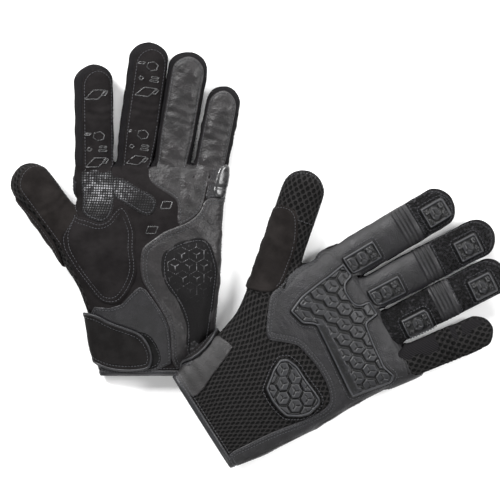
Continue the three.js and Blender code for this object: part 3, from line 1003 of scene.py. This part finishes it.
THENAR = [
    (-57, 118), (-44, 114), (-37, 111), (-31, 113), (-28, 118), (-22, 124), (-17, 122),
    (-13, 113), (-10, 103), (-9, 81), (-11, 70), (-17, 59), (-24, 52), (-35, 53), (-42, 61),
    (-51, 73), (-62, 92), (-62, 104),
]
GRIP_OUTER = [(-51, 121), (-47, 115), (-37, 111), (-31, 113), (-27, 119), (-26, 130), (-27, 153),
              (-51, 153)]
GRIP_BRIGHTEST = (((-41, 137), (13, 14)), ((-23, 134), (14, 9)))  # the spots where its dots are brightest, and their sizes
GRIP_INNER = [
    (-29, 145), (-20, 144), (-8, 136), (1, 132), (5, 126), (3, 119), (-2, 116), (-8, 118),
    (-17, 124), (-28, 129),
]
OUTER_PALM = [
    (18, 108), (10, 105), (3, 100), (-4, 95), (-7, 90), (-7, 70), (-1, 61), (5, 52), (11, 41),
    (14, 33), (15, 1), (44, 1), (49, 30), (52, 60), (54, 92), (54, 128), (46, 130), (39, 128),
    (36, 119), (28, 112),
]
FINGER_LEATHER = [
    (-2, 155), (-2, 144), (1, 139), (10, 133), (17, 129), (20, 124), (19, 108), (28, 112),
    (36, 119), (39, 128), (41, 139), (44, 155),
]
IMPACT_PAD = [
    (8, 90), (17, 96), (28, 100), (38, 101), (43, 97), (46, 88), (48, 77), (46, 60), (43, 38),
    (39, 14), (24, 10), (26, 33), (24, 44), (20, 53), (14, 62), (8, 70),
]
WRIST_PALM = [(-46, 3), (15, 1), (14, 33), (11, 41), (3, 54), (-6, 66), (-12, 62), (-24, 49),
              (-46, 51)]
LOOP_PATCH = [(-22, 34), (-8, 33), (-1, 31), (4, 24), (8, 14), (6, 7), (-3, 4), (-22, 4)]
STRAP = [(-49, 47), (-40, 45), (-30, 39), (-15, 34), (-8, 31), (-3, 25), (0, 17), (0, 10),
         (-3, 5), (-23, 4), (-37, 8), (-49, 20)]
SLIDER_BASE = [(39, 128), (46, 130), (54, 128), (62, 132), (60, 153), (44, 153), (42, 139)]
PALM_SUEDE = [(-55, 1), (-50, 40), (-49, 84), (-57, 106), (-57, 153), (57, 153), (55, 1)]
HOOK_PATCH = [(-32, 36), (-12, 31), (-5, 24), (-3, 14), (-6, 8), (-32, 9)]

BACK_LEATHER = [
    (-58, 154), (-56, 119), (-52, 104), (-48, 90), (-41, 84), (-24, 71), (-17, 79), (-8, 89),
    (-1, 90), (11, 92), (24, 92), (36, 89), (42, 83), (41, 69), (38, 53), (35, 38), (33, 22),
    (31, 1), (42, 1), (48, 30), (52, 60), (54, 92), (56, 128), (60, 154),
]
BACK_CUFF = [(-42, 2), (-18, 2), (-16, 10), (-24, 28), (-31, 46), (-33, 49), (-46, 42)]
KNUCKLE_GUARD = [
    (-32, 96), (-37, 109), (-39, 128), (-41, 149), (-28, 149), (-26, 142), (-22, 139.5),
    (-13, 139.5), (-9, 142), (-7.5, 150), (5.5, 150), (6.5, 139), (22, 136), (39, 134),
    (48, 137), (51, 131), (45, 101), (39, 101), (-13, 107), (-19, 99),
]
KNUCKLE_BAR = [(-14.5, 107.5), (-11, 114.5), (41, 109.5), (44.5, 108.5), (43, 102.2), (38, 102.2)]
WRIST_GUARD = [
    (-7, 72), (-4, 78), (4, 81), (16, 81), (27, 82), (34, 82), (37, 79), (39, 69), (37, 62),
    (31, 53), (24, 51), (15, 50), (6, 51), (3, 55), (-3, 63),
]
GATHER_PITCH = 9.0  # of the wrist elastic's soft gathers
HEX_TURN = math.radians(27)
HEX_RADIUS = 5.2  # a plate's centre to its flat sides


def honeycomb(first, pitch, low, high):
    """The centres of a honeycomb with one cell at first, inside a plan box."""
    turns = [HEX_TURN + k * math.pi / 3 for k in (0, 1)]
    a, b = (np.array([math.cos(t), math.sin(t)]) * pitch for t in turns)
    cells = [np.array(first) + i * a + j * b for i in range(-14, 15) for j in range(-14, 15)]
    return [tuple(c) for c in cells if (c > low).all() and (c < high).all()]


KNUCKLE_HEX = honeycomb((-31.0, 121.0), 10.9, (-44, 96), (56, 150))
WRIST_HEX = honeycomb((19.0, 69.0), 10.4, (-12, 46), (44, 86))


def hex_plates(flat, centres, radius, turn, gap=0.55):
    """Raised hexagonal plates with a channel between them and a three-armed groove in each.
    A centre may give a radius of its own as its third number."""
    plate = np.zeros(len(flat))
    for centre in centres:
        size = centre[2] if len(centre) > 2 else radius
        rel = flat - centre[:2]
        near = np.abs(rel).max(1) < size * 1.5
        rel = rel[near]
        norm = np.zeros(len(rel))
        arms = np.full(len(rel), size)
        for k in range(3):
            angle = turn + k * math.pi / 3
            norm = np.maximum(norm, np.abs(rel @ (math.cos(angle), math.sin(angle))))
            arm = turn + math.pi / 6 + k * 2 * math.pi / 3
            along = rel @ (math.cos(arm), math.sin(arm))
            aside = np.abs(rel @ (-math.sin(arm), math.cos(arm)))
            arms = np.where((along > 0) & (along < 0.62 * size), np.minimum(arms, aside), arms)
        top = 1 - ramp(norm, size - gap - 0.35, size - gap + 0.35)
        top = top * (0.45 + 0.55 * ramp(arms, 0.2, 0.6))
        plate[near] = np.maximum(plate[near], top)
    return plate


PUCKER_PITCH = 3.6
THINNING = 7.0  # the length in which a panel thins out
THINNED = -0.15  # and how far it then lies below the skin


def panel(thickness, edge, groove, crease, seed=1, size=16.0, base=0.0, extra=None, fade=None,
          grow=None):
    """A sewn panel's height: an edge that rolls down, one or more grooves drawn in by the
    stitches, and soft creases away from the seams. Towards fade, or from grow, the panel
    thins out to lie under the one that carries it on."""

    def rise(flat, depth):
        rolled = roll(depth, edge)
        height = base + thickness * rolled
        # Paler near the rolled edge: partly wear, partly a painted highlight.
        shade = 0.8 * np.exp(-((depth - 0.8) ** 2) / 0.8)
        for row in np.atleast_1d(groove) if groove else ():
            pull = np.exp(-(((depth - row) / 0.5) ** 2))
            pucker = 0.5 + 0.5 * np.sin(flat.sum(1) * 2 * math.pi / PUCKER_PITCH)
            height = height - pull * (0.26 + 0.12 * pucker)
            # In the groove the shade goes below zero, dotted by the pucker: painted shade, which
            # the leather paints nearly black.
            shade = shade * (1 - pull) - pull * (0.35 + 0.65 * pucker)
        if crease:
            fold = waves(flat, seed, size)
            fine = waves(flat, seed + 1, size * 0.35)
            relief = crease * (0.7 * fold + 0.35 * np.abs(fine) - 0.3)
            relief = relief * ramp(depth, 1.5, 6.0)
            height += relief
            # Raised crease tops paler: partly wear, partly a painted highlight.
            shade = shade + np.clip(0.5 * relief / crease, 0, 0.6)
        if extra is not None:
            height = height + extra(flat, depth)
        share = np.ones(len(flat))
        if fade is not None:
            share = share * ramp(-flat[:, 1], -fade - THINNING, -fade)
        if grow is not None:
            share = share * ramp(flat[:, 1], grow, grow + THINNING)
        return (height - THINNED) * share + THINNED, shade * share

    return rise


def guard_rise(relief, height=3.0, rim=2.1, sunk=1.5):
    """A moulded guard's height: a sloping side, a flat flange, a raised rim, and a sunk field
    with plates that stand up in it to the rim's height."""

    def rise(flat, depth):
        side = roll(depth, 0.8)
        flange = 0.6 * (1 - ramp(depth, 0.9, 1.3))
        field = ramp(depth, rim, rim + 0.5)
        plate = relief(flat) * ramp(depth, rim + 0.5, rim + 0.9)
        top = height - flange - sunk * field + sunk * plate
        # The shade handed on is painted light: high on the rim and plates for a painted highlight,
        # nil on the sloping side and below zero in the channels for painted shade.
        shade = np.maximum((1 - field) * ramp(depth, 1.0, 1.4), 0.6 * plate)
        return 0.3 + (top - 0.3) * side, shade - 0.9 * field * (1 - plate)

    return rise


def hold(piece, glove, part="hand"):
    """A piece on one body: the hand, or one segment of a digit."""
    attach(piece, f"{glove.side}_{part}")
    return piece


def fold(piece, glove):
    """The strap is one with the cuff as far as its fold line. The ends of that line are worked out,
    but the piece only has its transform baked and doesn't turn about it.
    """
    u, v = (at + way * np.array(FOLD_REACH) for at, way in zip(FOLD_PLACE, FOLD_WAY))
    start, end = glove.to_world(u, v, np.zeros(2)) * MM
    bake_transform(piece)
    return piece


def bend(pieces, glove, name):
    """Works out the hinge ends for a digit's pieces below and above its cut, but only bakes each
    piece's transform: nothing turns about the hinges or bends."""
    digit = glove.digits[name]
    for piece in pieces:
        if piece.name.endswith("_upper"):
            start, end = (digit.at(digit.joint + k) * MM for k in (-BEND_REACH, BEND_REACH))
            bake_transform(piece)
        else:
            start, end = (digit.at(k) * MM for k in (-ROOT_REACH, ROOT_REACH))
            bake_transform(piece)
    return pieces


def still(height):
    """A height alone, with no worn or sunk shade."""
    return lambda flat: (height(flat), np.zeros(len(flat)))


def make_shell(glove, back):
    """The knitted body under everything, open at the cuff, with its lining."""
    shell = tube(
        f"{glove.side}_body_shell", back, 2 * HALF_SPREAD, np.arange(1.0, 150.5, 1.5), 132,
        still(lambda flat: -0.5 + 0.12 * waves(flat, 3, 18)), "mesh", 0.9,
    )
    hold(shell, glove)
    inner = tube(
        f"{glove.side}_inner_lining", back, 2 * HALF_SPREAD, np.arange(1.4, 70, 2.2), 90,
        still(lambda flat: -1.45 - 0.2 * ramp(flat[:, 1], 2, 12)), "lining", 0.5,
    )
    hold(inner, glove)
    return shell


def make_hand(glove, palm, back):
    """The panels sewn to the hand, each laid on a chart, with its rows of stitches."""
    side = glove.side
    pieces = {"shell": make_shell(glove, back)}

    def lay(key, chart, outline, rise, material, stitch=(), lift=0.62, rounds=2, spacing=0.8):
        flat = rounded(chart.spread(outline), rounds)
        pieces[key] = hold(
            patch(f"{side}_{key}_skin", chart, flat, rise, material, spacing, 0.6), glove
        )
        for distance in stitch:
            sew_round(glove, "hand", chart, flat, distance, lift)

    # palm side
    soft = panel(0.35, 0.6, 0, 0.35, 5 if side == "left" else 8, 22.0, fade=145)
    flat = resampled_loop(np.array(PALM_SUEDE, float), 4.0)
    pieces["palm_suede"] = hold(
        patch(f"{side}_palm_suede_skin", palm, flat, soft, "suede", 0.9, 0.5), glove
    )
    lay("outer_palm", palm, OUTER_PALM, panel(0.95, 1.2, (2.0, 4.4), 0.5, 21, 15.0, 0.4),
        "palm_leather", (2.0, 4.4), 1.15)
    lay("finger_leather", palm, FINGER_LEATHER,
        panel(1.0, 1.2, 2.2, 0.55, 31, 13.0, 0.15, fade=148.5), "palm_leather", (2.0,), 1.0)
    lay("thenar", palm, THENAR, panel(1.0, 1.3, (2.0, 4.6), 0.45, 41, 17.0, 0.45), "suede",
        (2.0, 4.6), 1.25)
    sewn = panel(0.7, 1.0, 1.9, 0.25, 51, 14.0, 0.25, fade=147)

    def printed(flat, depth):
        """The dots are brightest round two spots where the lobes meet, and dimmer away from there.
        """
        height, _ = sewn(flat, depth)
        left, right = (((flat - spot) / size) ** 2 for spot, size in GRIP_BRIGHTEST)
        bright_spots = np.exp(-left.sum(1)) + 0.9 * np.exp(-right.sum(1))
        return height, bright_spots * ramp(depth, 0.8, 2.5)

    for key, outline in (("grip_outer", GRIP_OUTER), ("grip_inner", GRIP_INNER)):
        lay(key, palm, outline, printed, "grip_print", (1.8,), 0.85, spacing=0.7)
    lay("wrist_palm", palm, WRIST_PALM, panel(0.6, 1.0, 1.9, 0.12, 61, 15.0, 0.6), "leather",
        (1.8,), 1.15, rounds=1)
    lay("outer_mesh", palm, SLIDER_BASE, panel(0.5, 0.9, 1.6, 0.0, base=0.5, fade=149),
        "leather", (1.6,), 0.8, rounds=1)

    # back side
    lay("back_leather", back, BACK_LEATHER,
        panel(0.8, 1.1, (1.8, 4.0), 0.35, 71, 24.0, 0.1, fade=147), "leather", (1.8, 4.0), 0.75)

    def gathers(flat, depth):
        return 0.22 * np.sin(flat[:, 1] * 2 * math.pi / GATHER_PITCH) * ramp(depth, 0.8, 3.0)

    lay("back_cuff", back, BACK_CUFF, panel(0.7, 0.9, 0, 0.0, base=0.1, extra=gathers),
        "elastic", rounds=1, spacing=0.6)

    # the strap's loops, on the palm side of the wrist
    lay("loop_patch", palm, LOOP_PATCH, panel(0.7, 0.8, 1.6, 0.0, base=0.95), "fastener",
        (1.5,), 1.35)
    return pieces


def make_guards(glove, back):
    """The moulded guards on the back of the hand, and the plain bar on the knuckle guard."""
    side = glove.side
    made = {}
    for key, outline, centres in (
        ("knuckle_guard", KNUCKLE_GUARD, KNUCKLE_HEX),
        ("wrist_guard", WRIST_GUARD, WRIST_HEX),
    ):
        flat = eased(back.spread(outline), 2.0)
        spots = back.spread(centres)
        rise = guard_rise(lambda f, spots=spots: hex_plates(f, spots, HEX_RADIUS, HEX_TURN))
        piece = patch(f"{side}_{key}_moulding", back, flat, rise, "guard", 0.42, 0.8)
        made[key] = hold(piece, glove)
        sew_round(glove, "hand", back, flat, -1.6, 1.1)
    bar = eased(back.spread(KNUCKLE_BAR), 1.5)
    bar_rise = panel(1.9, 0.8, 0, 0.0, base=1.1)
    hold(patch(f"{side}_knuckle_bar", back, bar, bar_rise, "guard", 0.5, 0.8), glove)
    return made


def make_strap(glove, palm):
    """The tab that folds over the wrist, piped along its edge, with hooks under it."""
    side = glove.side
    flat = rounded(palm.spread(STRAP))
    rise = panel(1.5, 1.2, 3.2, 0.15, 81, 16.0, 1.5)
    tab = fold(patch(f"{side}_strap_tab", palm, flat, rise, "strap", 0.7, 1.2), glove)
    points, normals = palm(resampled_loop(flat, SEAM_STEP))
    piping = strip(f"{side}_strap_piping", points + normals * 2.5, normals, circle(0.95, 10),
                   "binding")
    fold(piping, glove)
    sew_round(glove, "strap", palm, flat, 3.0, 2.8)
    flat = rounded(palm.spread(HOOK_PATCH))
    rise = panel(0.25, 0.4, 0, 0.0, base=1.55)
    hooks = fold(patch(f"{side}_strap_hooks", palm, flat, rise, "fastener", 0.9, 0.25), glove)
    return tab, hooks


CUFF_PROFILE = [(-1.9, 0.6), (-1.5, 1.0), (0.0, 1.15), (1.6, 1.0), (2.2, 0.5), (2.3, -0.6),
                (1.9, -1.5), (0.6, -1.9), (-1.4, -1.9), (-1.9, -1.4), (-1.7, -0.6)]
CUFF_POINTS = 240


def make_cuff(glove, back):
    """The rolled binding round the cuff's mouth, and its two rows of stitches."""
    around = np.linspace(-2 * HALF_SPREAD, 2 * HALF_SPREAD, CUFF_POINTS + 1)[:-1]

    def level(v):
        return np.column_stack([around, np.full(CUFF_POINTS, v)])

    points, normals = back(level(1.9))
    binding = strip(f"{glove.side}_cuff_binding_roll", points, normals, CUFF_PROFILE, "binding")
    hold(binding, glove)
    for v, lift in ((2.9, 1.15), (5.3, 0.7)):
        sew(glove, "hand", back, level(v), lift)
    return binding


# ---------------------------------------------------------------- digits

FINGER_PALM = {"thumb": "thumb_suede", "index": "suede", "middle": "suede",
               "ring": "palm_leather", "little": "palm_leather"}
FINGER_BACK = {"thumb": ("mesh", "mesh"), "index": ("leather", "textile"),
               "middle": ("leather", "textile"), "ring": ("textile", "textile"),
               "little": ("mesh", "mesh")}  # below and above the accordion
PALM_SHIFT = {"thumb": 5.0, "index": 3.5, "middle": 2.6, "ring": 0.6, "little": -0.5}
GUARD_SHIFT = {"index": 3.0, "middle": 3.5, "ring": 4.0}
THUMB_OVERLAY = [(-18, -6), (7, -2), (7, 18), (7.5, 30), (6, 44), (1, 60), (-8, 62), (-18, 58),
                 (-27, 52), (-30, 30), (-28, 4)]
SIDE_ROWS = 1.4  # between the rows of a digit's shell
SIDE_POINTS = 88  # round it
RIB_REACH = 6.5  # half the accordion's length, over the middle joint
RIB_SPACING = 3.0
RIB_HEIGHT = 1.6


def arch(width, start, end, drop):
    """A finger panel's outline: straight sides and a half-oval top."""
    turn = np.linspace(0, math.pi, 15)
    top = np.column_stack([width * np.cos(turn), end - drop + drop * np.sin(turn)])
    return np.vstack([[(-width, start), (width, start)], top])


def make_sides(glove, digit, palm, seed):
    """A digit's shell, which shows as its side walls, in two pieces that meet at the cut."""
    straight = digit.length - TIP_ROUND
    turn = np.linspace(0, math.pi / 2, 15)[1:]
    below = np.arange(digit.cut, -5, -SIDE_ROWS)[::-1]
    above = np.arange(digit.cut, straight - 0.7, SIDE_ROWS)[1:]
    rows = np.concatenate([below, above, straight + TIP_ROUND * np.sin(turn)])
    return tube(
        f"{glove.side}_{digit.name}_sides", palm, 2 * digit.quarter, rows, SIDE_POINTS,
        still(lambda flat: -0.45 + 0.25 * waves(flat, seed, 17)),
        "mesh" if digit.name == "thumb" else "rib_knit", 0.9, len(below) - 1,
    )


def make_digit_palm(glove, digit, palm, seed):
    """The palm panel, from under the palm's edge to an arch short of the tip."""
    name = digit.name
    width = digit.quarter * (0.7 if name == "thumb" else 0.58)
    outline = arch(width, -7, digit.length - 4, 13)
    outline[:, 0] += PALM_SHIFT[name]
    crease = 0.55 if FINGER_PALM[name] == "palm_leather" else 0.35

    def cross_folds(flat, depth):
        """Folds across the digit, near its middle joint and its root."""
        near = np.exp(-(((flat[:, 1] - digit.joint) / 7) ** 2))
        near = near + 0.6 * np.exp(-(((flat[:, 1] - 6) / 6) ** 2))
        wave = np.sin(flat[:, 1] * 2 * math.pi / 6.5 + 0.8 * np.sin(flat[:, 0] * 0.35))
        return 0.3 * near * wave * ramp(depth, 1, 4)

    rise = panel(0.8, 1.1, 2.0, crease, seed + 1, 15.0, 0.0, cross_folds, grow=-5)
    pieces = patch(f"{glove.side}_{name}_palm", palm, outline, rise, FINGER_PALM[name], 0.8, 0.6,
                   digit.cut)
    sew_round(glove, name, palm, outline, 1.9, 0.62, digit.cut)
    return pieces


def make_digit_back(glove, digit, back, seed):
    """The back: a lower panel with the accordion over the middle joint, a tip panel, and what
    lies over them on the thumb, the ring finger and the little finger."""
    side, name, cut, length = glove.side, digit.name, digit.cut, digit.length
    thumb = name == "thumb"
    low_kind, high_kind = FINGER_BACK[name]
    width = digit.quarter * (0.9 if thumb else 0.76)

    def ribs(flat, depth):
        """Rounded ridges across the finger, on either side of its middle joint."""
        past = np.abs(flat[:, 1] - digit.joint)
        near = 1 - ramp(past, RIB_REACH - 1, RIB_REACH + 1)
        turn = (flat[:, 1] - digit.joint) * 2 * math.pi / RIB_SPACING
        return RIB_HEIGHT * near * (0.5 - 0.5 * np.cos(turn)) ** 0.7 * ramp(depth, 0.6, 2.0)

    def block(low):
        """A straight-sided panel up to just past the accordion."""
        join = digit.joint + 8
        return np.array([(-width, low), (width, low), (width, join), (-width, join)])

    lower = resampled_loop(block(-6.0), 2.5)
    rise = panel(0.75, 0.9, 0, 0.2, seed + 2, 15.0, 0.0, None if thumb else ribs, grow=-5)
    pieces = patch(f"{side}_{name}_back", back, lower, rise, low_kind, 0.7, 0.6, cut)
    outline = arch(width, digit.joint + 7, length - 1.5, 17)
    rise = panel(0.8, 1.0, 1.9, 0.25, seed + 3, 14.0, 0.25)
    pieces.append(patch(f"{side}_{name}_tip_upper", back, outline, rise, high_kind, 0.8, 0.6))
    if name != "little":
        sew_round(glove, name, back, outline, 1.7, 0.85, cut)
    if thumb:
        overlay = rounded(THUMB_OVERLAY)
        rise = panel(0.85, 1.1, 2.0, 0.4, seed + 4, 15.0, 0.75)
        pieces += patch(f"{side}_thumb_overlay", back, overlay, rise, "thumb_suede", 0.8, 0.6, cut)
        sew_round(glove, name, back, overlay, 1.9, 1.35, cut)
    if name == "ring":
        folds = resampled_loop(block(cut) + (0, 0.8), 2.5)
        rise = panel(0.75, 0.9, 0, 0.1, seed + 5, 15.0, 0.35, ribs)
        pieces.append(patch(f"{side}_ring_folds_upper", back, folds, rise, "leather", 0.7, 0.6))
    if name == "little":
        overlay = rounded([(-width, -4), (-4, -4), (1, 16), (1, 44), (-1, length - 8),
                           (-6, length - 3), (-width, length - 12)])
        rise = panel(0.5, 0.8, 1.3, 0.1, seed + 4, 15.0, 0.55, grow=-3)
        pieces += patch(f"{side}_little_overlay", back, overlay, rise, "rib_knit", 0.8, 0.6, cut)
    return pieces


def make_digit(glove, digit, palm, back):
    """A digit's shell and panels, their transforms baked by bend(). Gives the shell's two pieces.
    """
    seed = 100 + 10 * DIGITS.index(digit.name) + (5 if glove.side == "left" else 0)
    sides = make_sides(glove, digit, palm, seed)
    pieces = sides + make_digit_palm(glove, digit, palm, seed)
    bend(pieces + make_digit_back(glove, digit, back, seed), glove, digit.name)
    return sides


def make_digit_guards(glove, digit, back):
    """Moulded guards that a finger carries on its back."""
    side, name = glove.side, digit.name
    made = {}

    def mould(key, outline, plates, part, centre):
        flat = eased(np.array(outline, float) + centre, 1.8)
        plates = [(x + centre[0], y + centre[1], r) for x, y, r in plates]
        rise = guard_rise(lambda f: hex_plates(f, plates, None, math.radians(30), 0.4),
                          2.8, 1.9, 1.3)
        piece = patch(f"{side}_{key}_moulding", back, flat, rise, "guard", 0.42, 0.8)
        made[key] = hold(piece, glove, part)
        sew_round(glove, name, back, flat, -1.3, 1.2, digit.cut)

    if name in GUARD_SHIFT:
        shift = GUARD_SHIFT[name]
        s = digit.joint + 0.58 * (digit.length - digit.joint)
        outline = [(-6.8, -9.5), (6.8, -9.5), (6.8, 8.5), (5.5, 9.8), (-5.5, 9.8), (-6.8, 8.5)]
        plates = [(0, -0.5, 3.9), (-3.2, -6, 2.1), (3.2, -6, 2.1), (-2.6, 5.6, 2.0),
                  (2.6, 5.6, 2.0)]
        mould(f"{name}_tip_guard", outline, plates, f"{name}_upper", (0.7 * shift, s))
    if name == "ring":
        outline = [(-7, -11), (5, -11), (7.2, -9), (7.2, 11), (-5, 11), (-7, 9)]
        plates = [(0, 0, 4.1), (-3.4, -6.8, 2.4), (3.4, -6.6, 2.2), (-2.8, 6.8, 2.3), (3, 7, 2.2)]
        mould("ring_base_guard", outline, plates, "ring_lower", (shift + 1.5, 0.47 * digit.joint))
    if name in ("index", "middle"):
        outline = [(-6.4, -13.4), (6.4, -13.4), (6.4, 14), (-6.4, 14)]
        plates = [(0, -8.7, 4.3), (0, 0, 4.3), (-2.4, 7.4, 2.7), (2.6, 7.6, 2.5)]
        mould(f"{name}_knuckle_arm", outline, plates, f"{name}_lower", (shift, 14.0))
    return made


# ---------------------------------------------------------------- prints and pads


PRINT_WIDTH = 0.42  # half the bead's width
PRINT_PROFILE = [(-PRINT_WIDTH, -0.15), (-PRINT_WIDTH, 0.1), (-PRINT_WIDTH / 2, 0.32),
                 (PRINT_WIDTH / 2, 0.32), (PRINT_WIDTH, 0.1), (PRINT_WIDTH, -0.15)]
PRINT_FIELD = [(-12, 60), (-8, 72), (-6, 90), (-4, 97), (3, 102), (10, 107), (17, 110), (18, 123),
               (8, 131), (6, 120), (3, 114), (-3, 112), (-10, 114), (-8, 104), (-7, 84)]


def outline_print(name, chart, shapes, lift):
    """Printed silicone: closed outlines, each a low smooth bead, made into one piece."""
    beads = []
    for k, shape in enumerate(shapes):
        points, normals = chart(resampled_loop(shape, 0.6))
        beads.append(strip(f"{name}_{k:02d}", points + normals * lift, normals, PRINT_PROFILE,
                           "silicone"))
    with bpy.context.temp_override(active_object=beads[0], selected_editable_objects=beads):
        bpy.ops.object.join()
    beads[0].name = name
    return beads[0]


def slanted(x, y, wide, tall, lean=0.35):
    """A parallelogram round (x, y)."""
    w, h, k = wide / 2, tall / 2, lean * tall / 2
    return [(x - w - k, y - h), (x + w - k, y - h), (x + w + k, y + h), (x - w + k, y + h)]


def polygon(x, y, radius, sides=6):
    return circle(radius, sides, 0.3) + (x, y)


MARKS = (  # what is printed at a place along a finger
    lambda s: [slanted(1.5, s, 7.5, 6.5, 0.8), slanted(6.8, s + 1, 2.4, 3.2, 0.6)],
    lambda s: [slanted(5.2, s - 1, 5.0, 1.2, 0.4), slanted(5.4, s + 1.6, 4.4, 1.2, 0.4),
               polygon(-2.5, s, 1.5, 4)],
    lambda s: [polygon(3.0, s, 3.4), slanted(-3.4, s + 1.5, 3.4, 1.3, 0.6)],
    lambda s: [polygon(-1.6, s, 2.4, 3), slanted(6.0, s, 4.0, 2.6, 0.7)],
)
MARK_PITCH = 9.5


def make_palm_print(glove, palm):
    """Slanted boxes in staggered rows, where they fit inside the print's field."""
    boxes = []
    for row, y in enumerate(range(52, 142, 9)):
        for column in range(4):
            x = -20 + 10.5 * column + (4 if row % 2 else 0)
            _, depth, inside = nearest_on(np.array([[x, y]], float), np.array(PRINT_FIELD, float))
            if inside[0] and depth[0] > 2.2:
                boxes.append(palm.spread(slanted(x, y, 7, 5)))
    hold(outline_print(f"{glove.side}_palm_print", palm, boxes, 0.4), glove)


def make_finger_prints(glove, digit, palm):
    """The marks in turn along a finger's palm side, but not over its middle joint."""
    for tag, low, high in (("lower", 9, digit.joint - 13),
                           ("upper", digit.joint + 12, digit.length - 16)):
        rows = np.arange(low, high, MARK_PITCH)
        marks = [mark for k, s in enumerate(rows) for mark in MARKS[k % len(MARKS)](s)]
        name = f"{glove.side}_{digit.name}_print_{tag}"
        bend([outline_print(name, palm, marks, 0.75)], glove, digit.name)


PAD_CELL = 5.6  # the pad's lines: the honeycomb's corner radius, and its plates' size
PAD_PLATE = 4.85


def make_impact_pad(glove, palm):
    """A crowned pad sewn to the heel of the hand, with a faceted line pattern that fades."""
    flat = rounded(palm.spread(IMPACT_PAD))
    low, high = flat.min(0), flat.max(0)
    across, down = PAD_CELL * 1.732, PAD_CELL * 1.5
    cells = [(low[0] + across * (k + 0.5 * (row % 2)), high[1] - 4 - down * row)
             for row in range(9) for k in range(6)]

    def rise(points, depth):
        crown = 1.4 * ramp(depth, 1.5, 9.0)
        seam = np.exp(-(((depth - 2.2) / 0.6) ** 2))
        lines = 1 - hex_plates(points, cells, PAD_PLATE, 0.0, 0.12)
        fade = 0.42 + 0.58 * ramp(points[:, 1], low[1] + 30, high[1] - 14)
        lines = lines * fade * ramp(depth, 3.0, 4.5)
        height = 1.0 + 0.7 * roll(depth, 1.3) + crown - 0.35 * seam
        return height + 0.12 * lines + 0.12 * waves(points, 61, 12), lines

    pad = patch(f"{glove.side}_impact_pad_cover", palm, flat, rise, "pad_print", 0.55, 1.0)
    hold(pad, glove)
    sew_round(glove, "hand", palm, flat, 2.3, 1.95)
    return pad


def make_slider(glove, chart):
    """A smooth moulding with a waist, at the little finger's base, its transform baked by bend().
    """
    outline = rounded([(4, -9), (13, -9), (15, 2), (15, 14), (10, 17), (5, 13), (4, 2)])

    def rise(flat, depth):
        waist = np.exp(-(((flat[:, 1] + 1.5) / 1.6) ** 2))
        return 0.6 + 1.8 * roll(depth, 2.6) - 0.5 * waist, 0.5 * roll(depth, 2.6)

    piece = patch(f"{glove.side}_little_slider_lower", chart, outline, rise, "silicone", 0.5, 0.9)
    bend([piece], glove, "little")


# ---------------------------------------------------------------- the whole pair


def make_stitches(glove):
    """One piece of stitches for each body that has rows of them."""
    for (side, part), rows in STITCHES.items():
        if side != glove.side:
            continue
        piece = stitch_mesh(f"{side}_stitches_{part}", rows)
        name = part.split("_")[0]
        if name in DIGITS:
            bend([piece], glove, name)
        elif part == "strap":
            fold(piece, glove)
        else:
            hold(piece, glove)


def make_glove(side):
    """One glove, and which of its pieces stand in for the part's own solids."""
    glove = Glove(side)
    palm, back = HandChart(glove, -1), HandChart(glove, 1)
    pieces = make_hand(glove, palm, back)
    guards = make_guards(glove, back)
    tab, hooks = make_strap(glove, palm)
    binding = make_cuff(glove, back)
    pad = make_impact_pad(glove, palm)
    digit_palms = {name: DigitChart(glove, name, -1) for name in DIGITS}
    for name, digit in glove.digits.items():
        digit_back = DigitChart(glove, name, 1)
        lower, upper = make_digit(glove, digit, digit_palms[name], digit_back)
        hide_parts(f"{side}_{name}_lower")
        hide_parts(f"{side}_{name}_upper")
        for key, piece in make_digit_guards(glove, digit, digit_back).items():
            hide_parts(f"{side}_{key}")
    make_slider(glove, digit_palms["little"])
    make_palm_print(glove, palm)
    for name in ("index", "middle"):
        make_finger_prints(glove, glove.digits[name], digit_palms[name])
    make_stitches(glove)
    replaced = {
        "wrist_elastic": pieces["back_cuff"], "back_leather": pieces["back_leather"],
        "back_mesh": pieces["shell"], "palm_impact_pad": pad,
        "outer_palm_leather": pieces["outer_palm"], "thenar_suede": pieces["thenar"],
        "grip_patch": pieces["grip_outer"], "palm_suede": pieces["palm_suede"],
        "cuff_binding": binding, "loop_patch": pieces["loop_patch"], "strap": tab,
        "hook_patch": hooks, **guards,
    }
    for node, piece in replaced.items():
        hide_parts(f"{side}_{node}")


make_camera()
make_light()
make_floor()
make_materials()
make_glove("left")
make_glove("right")
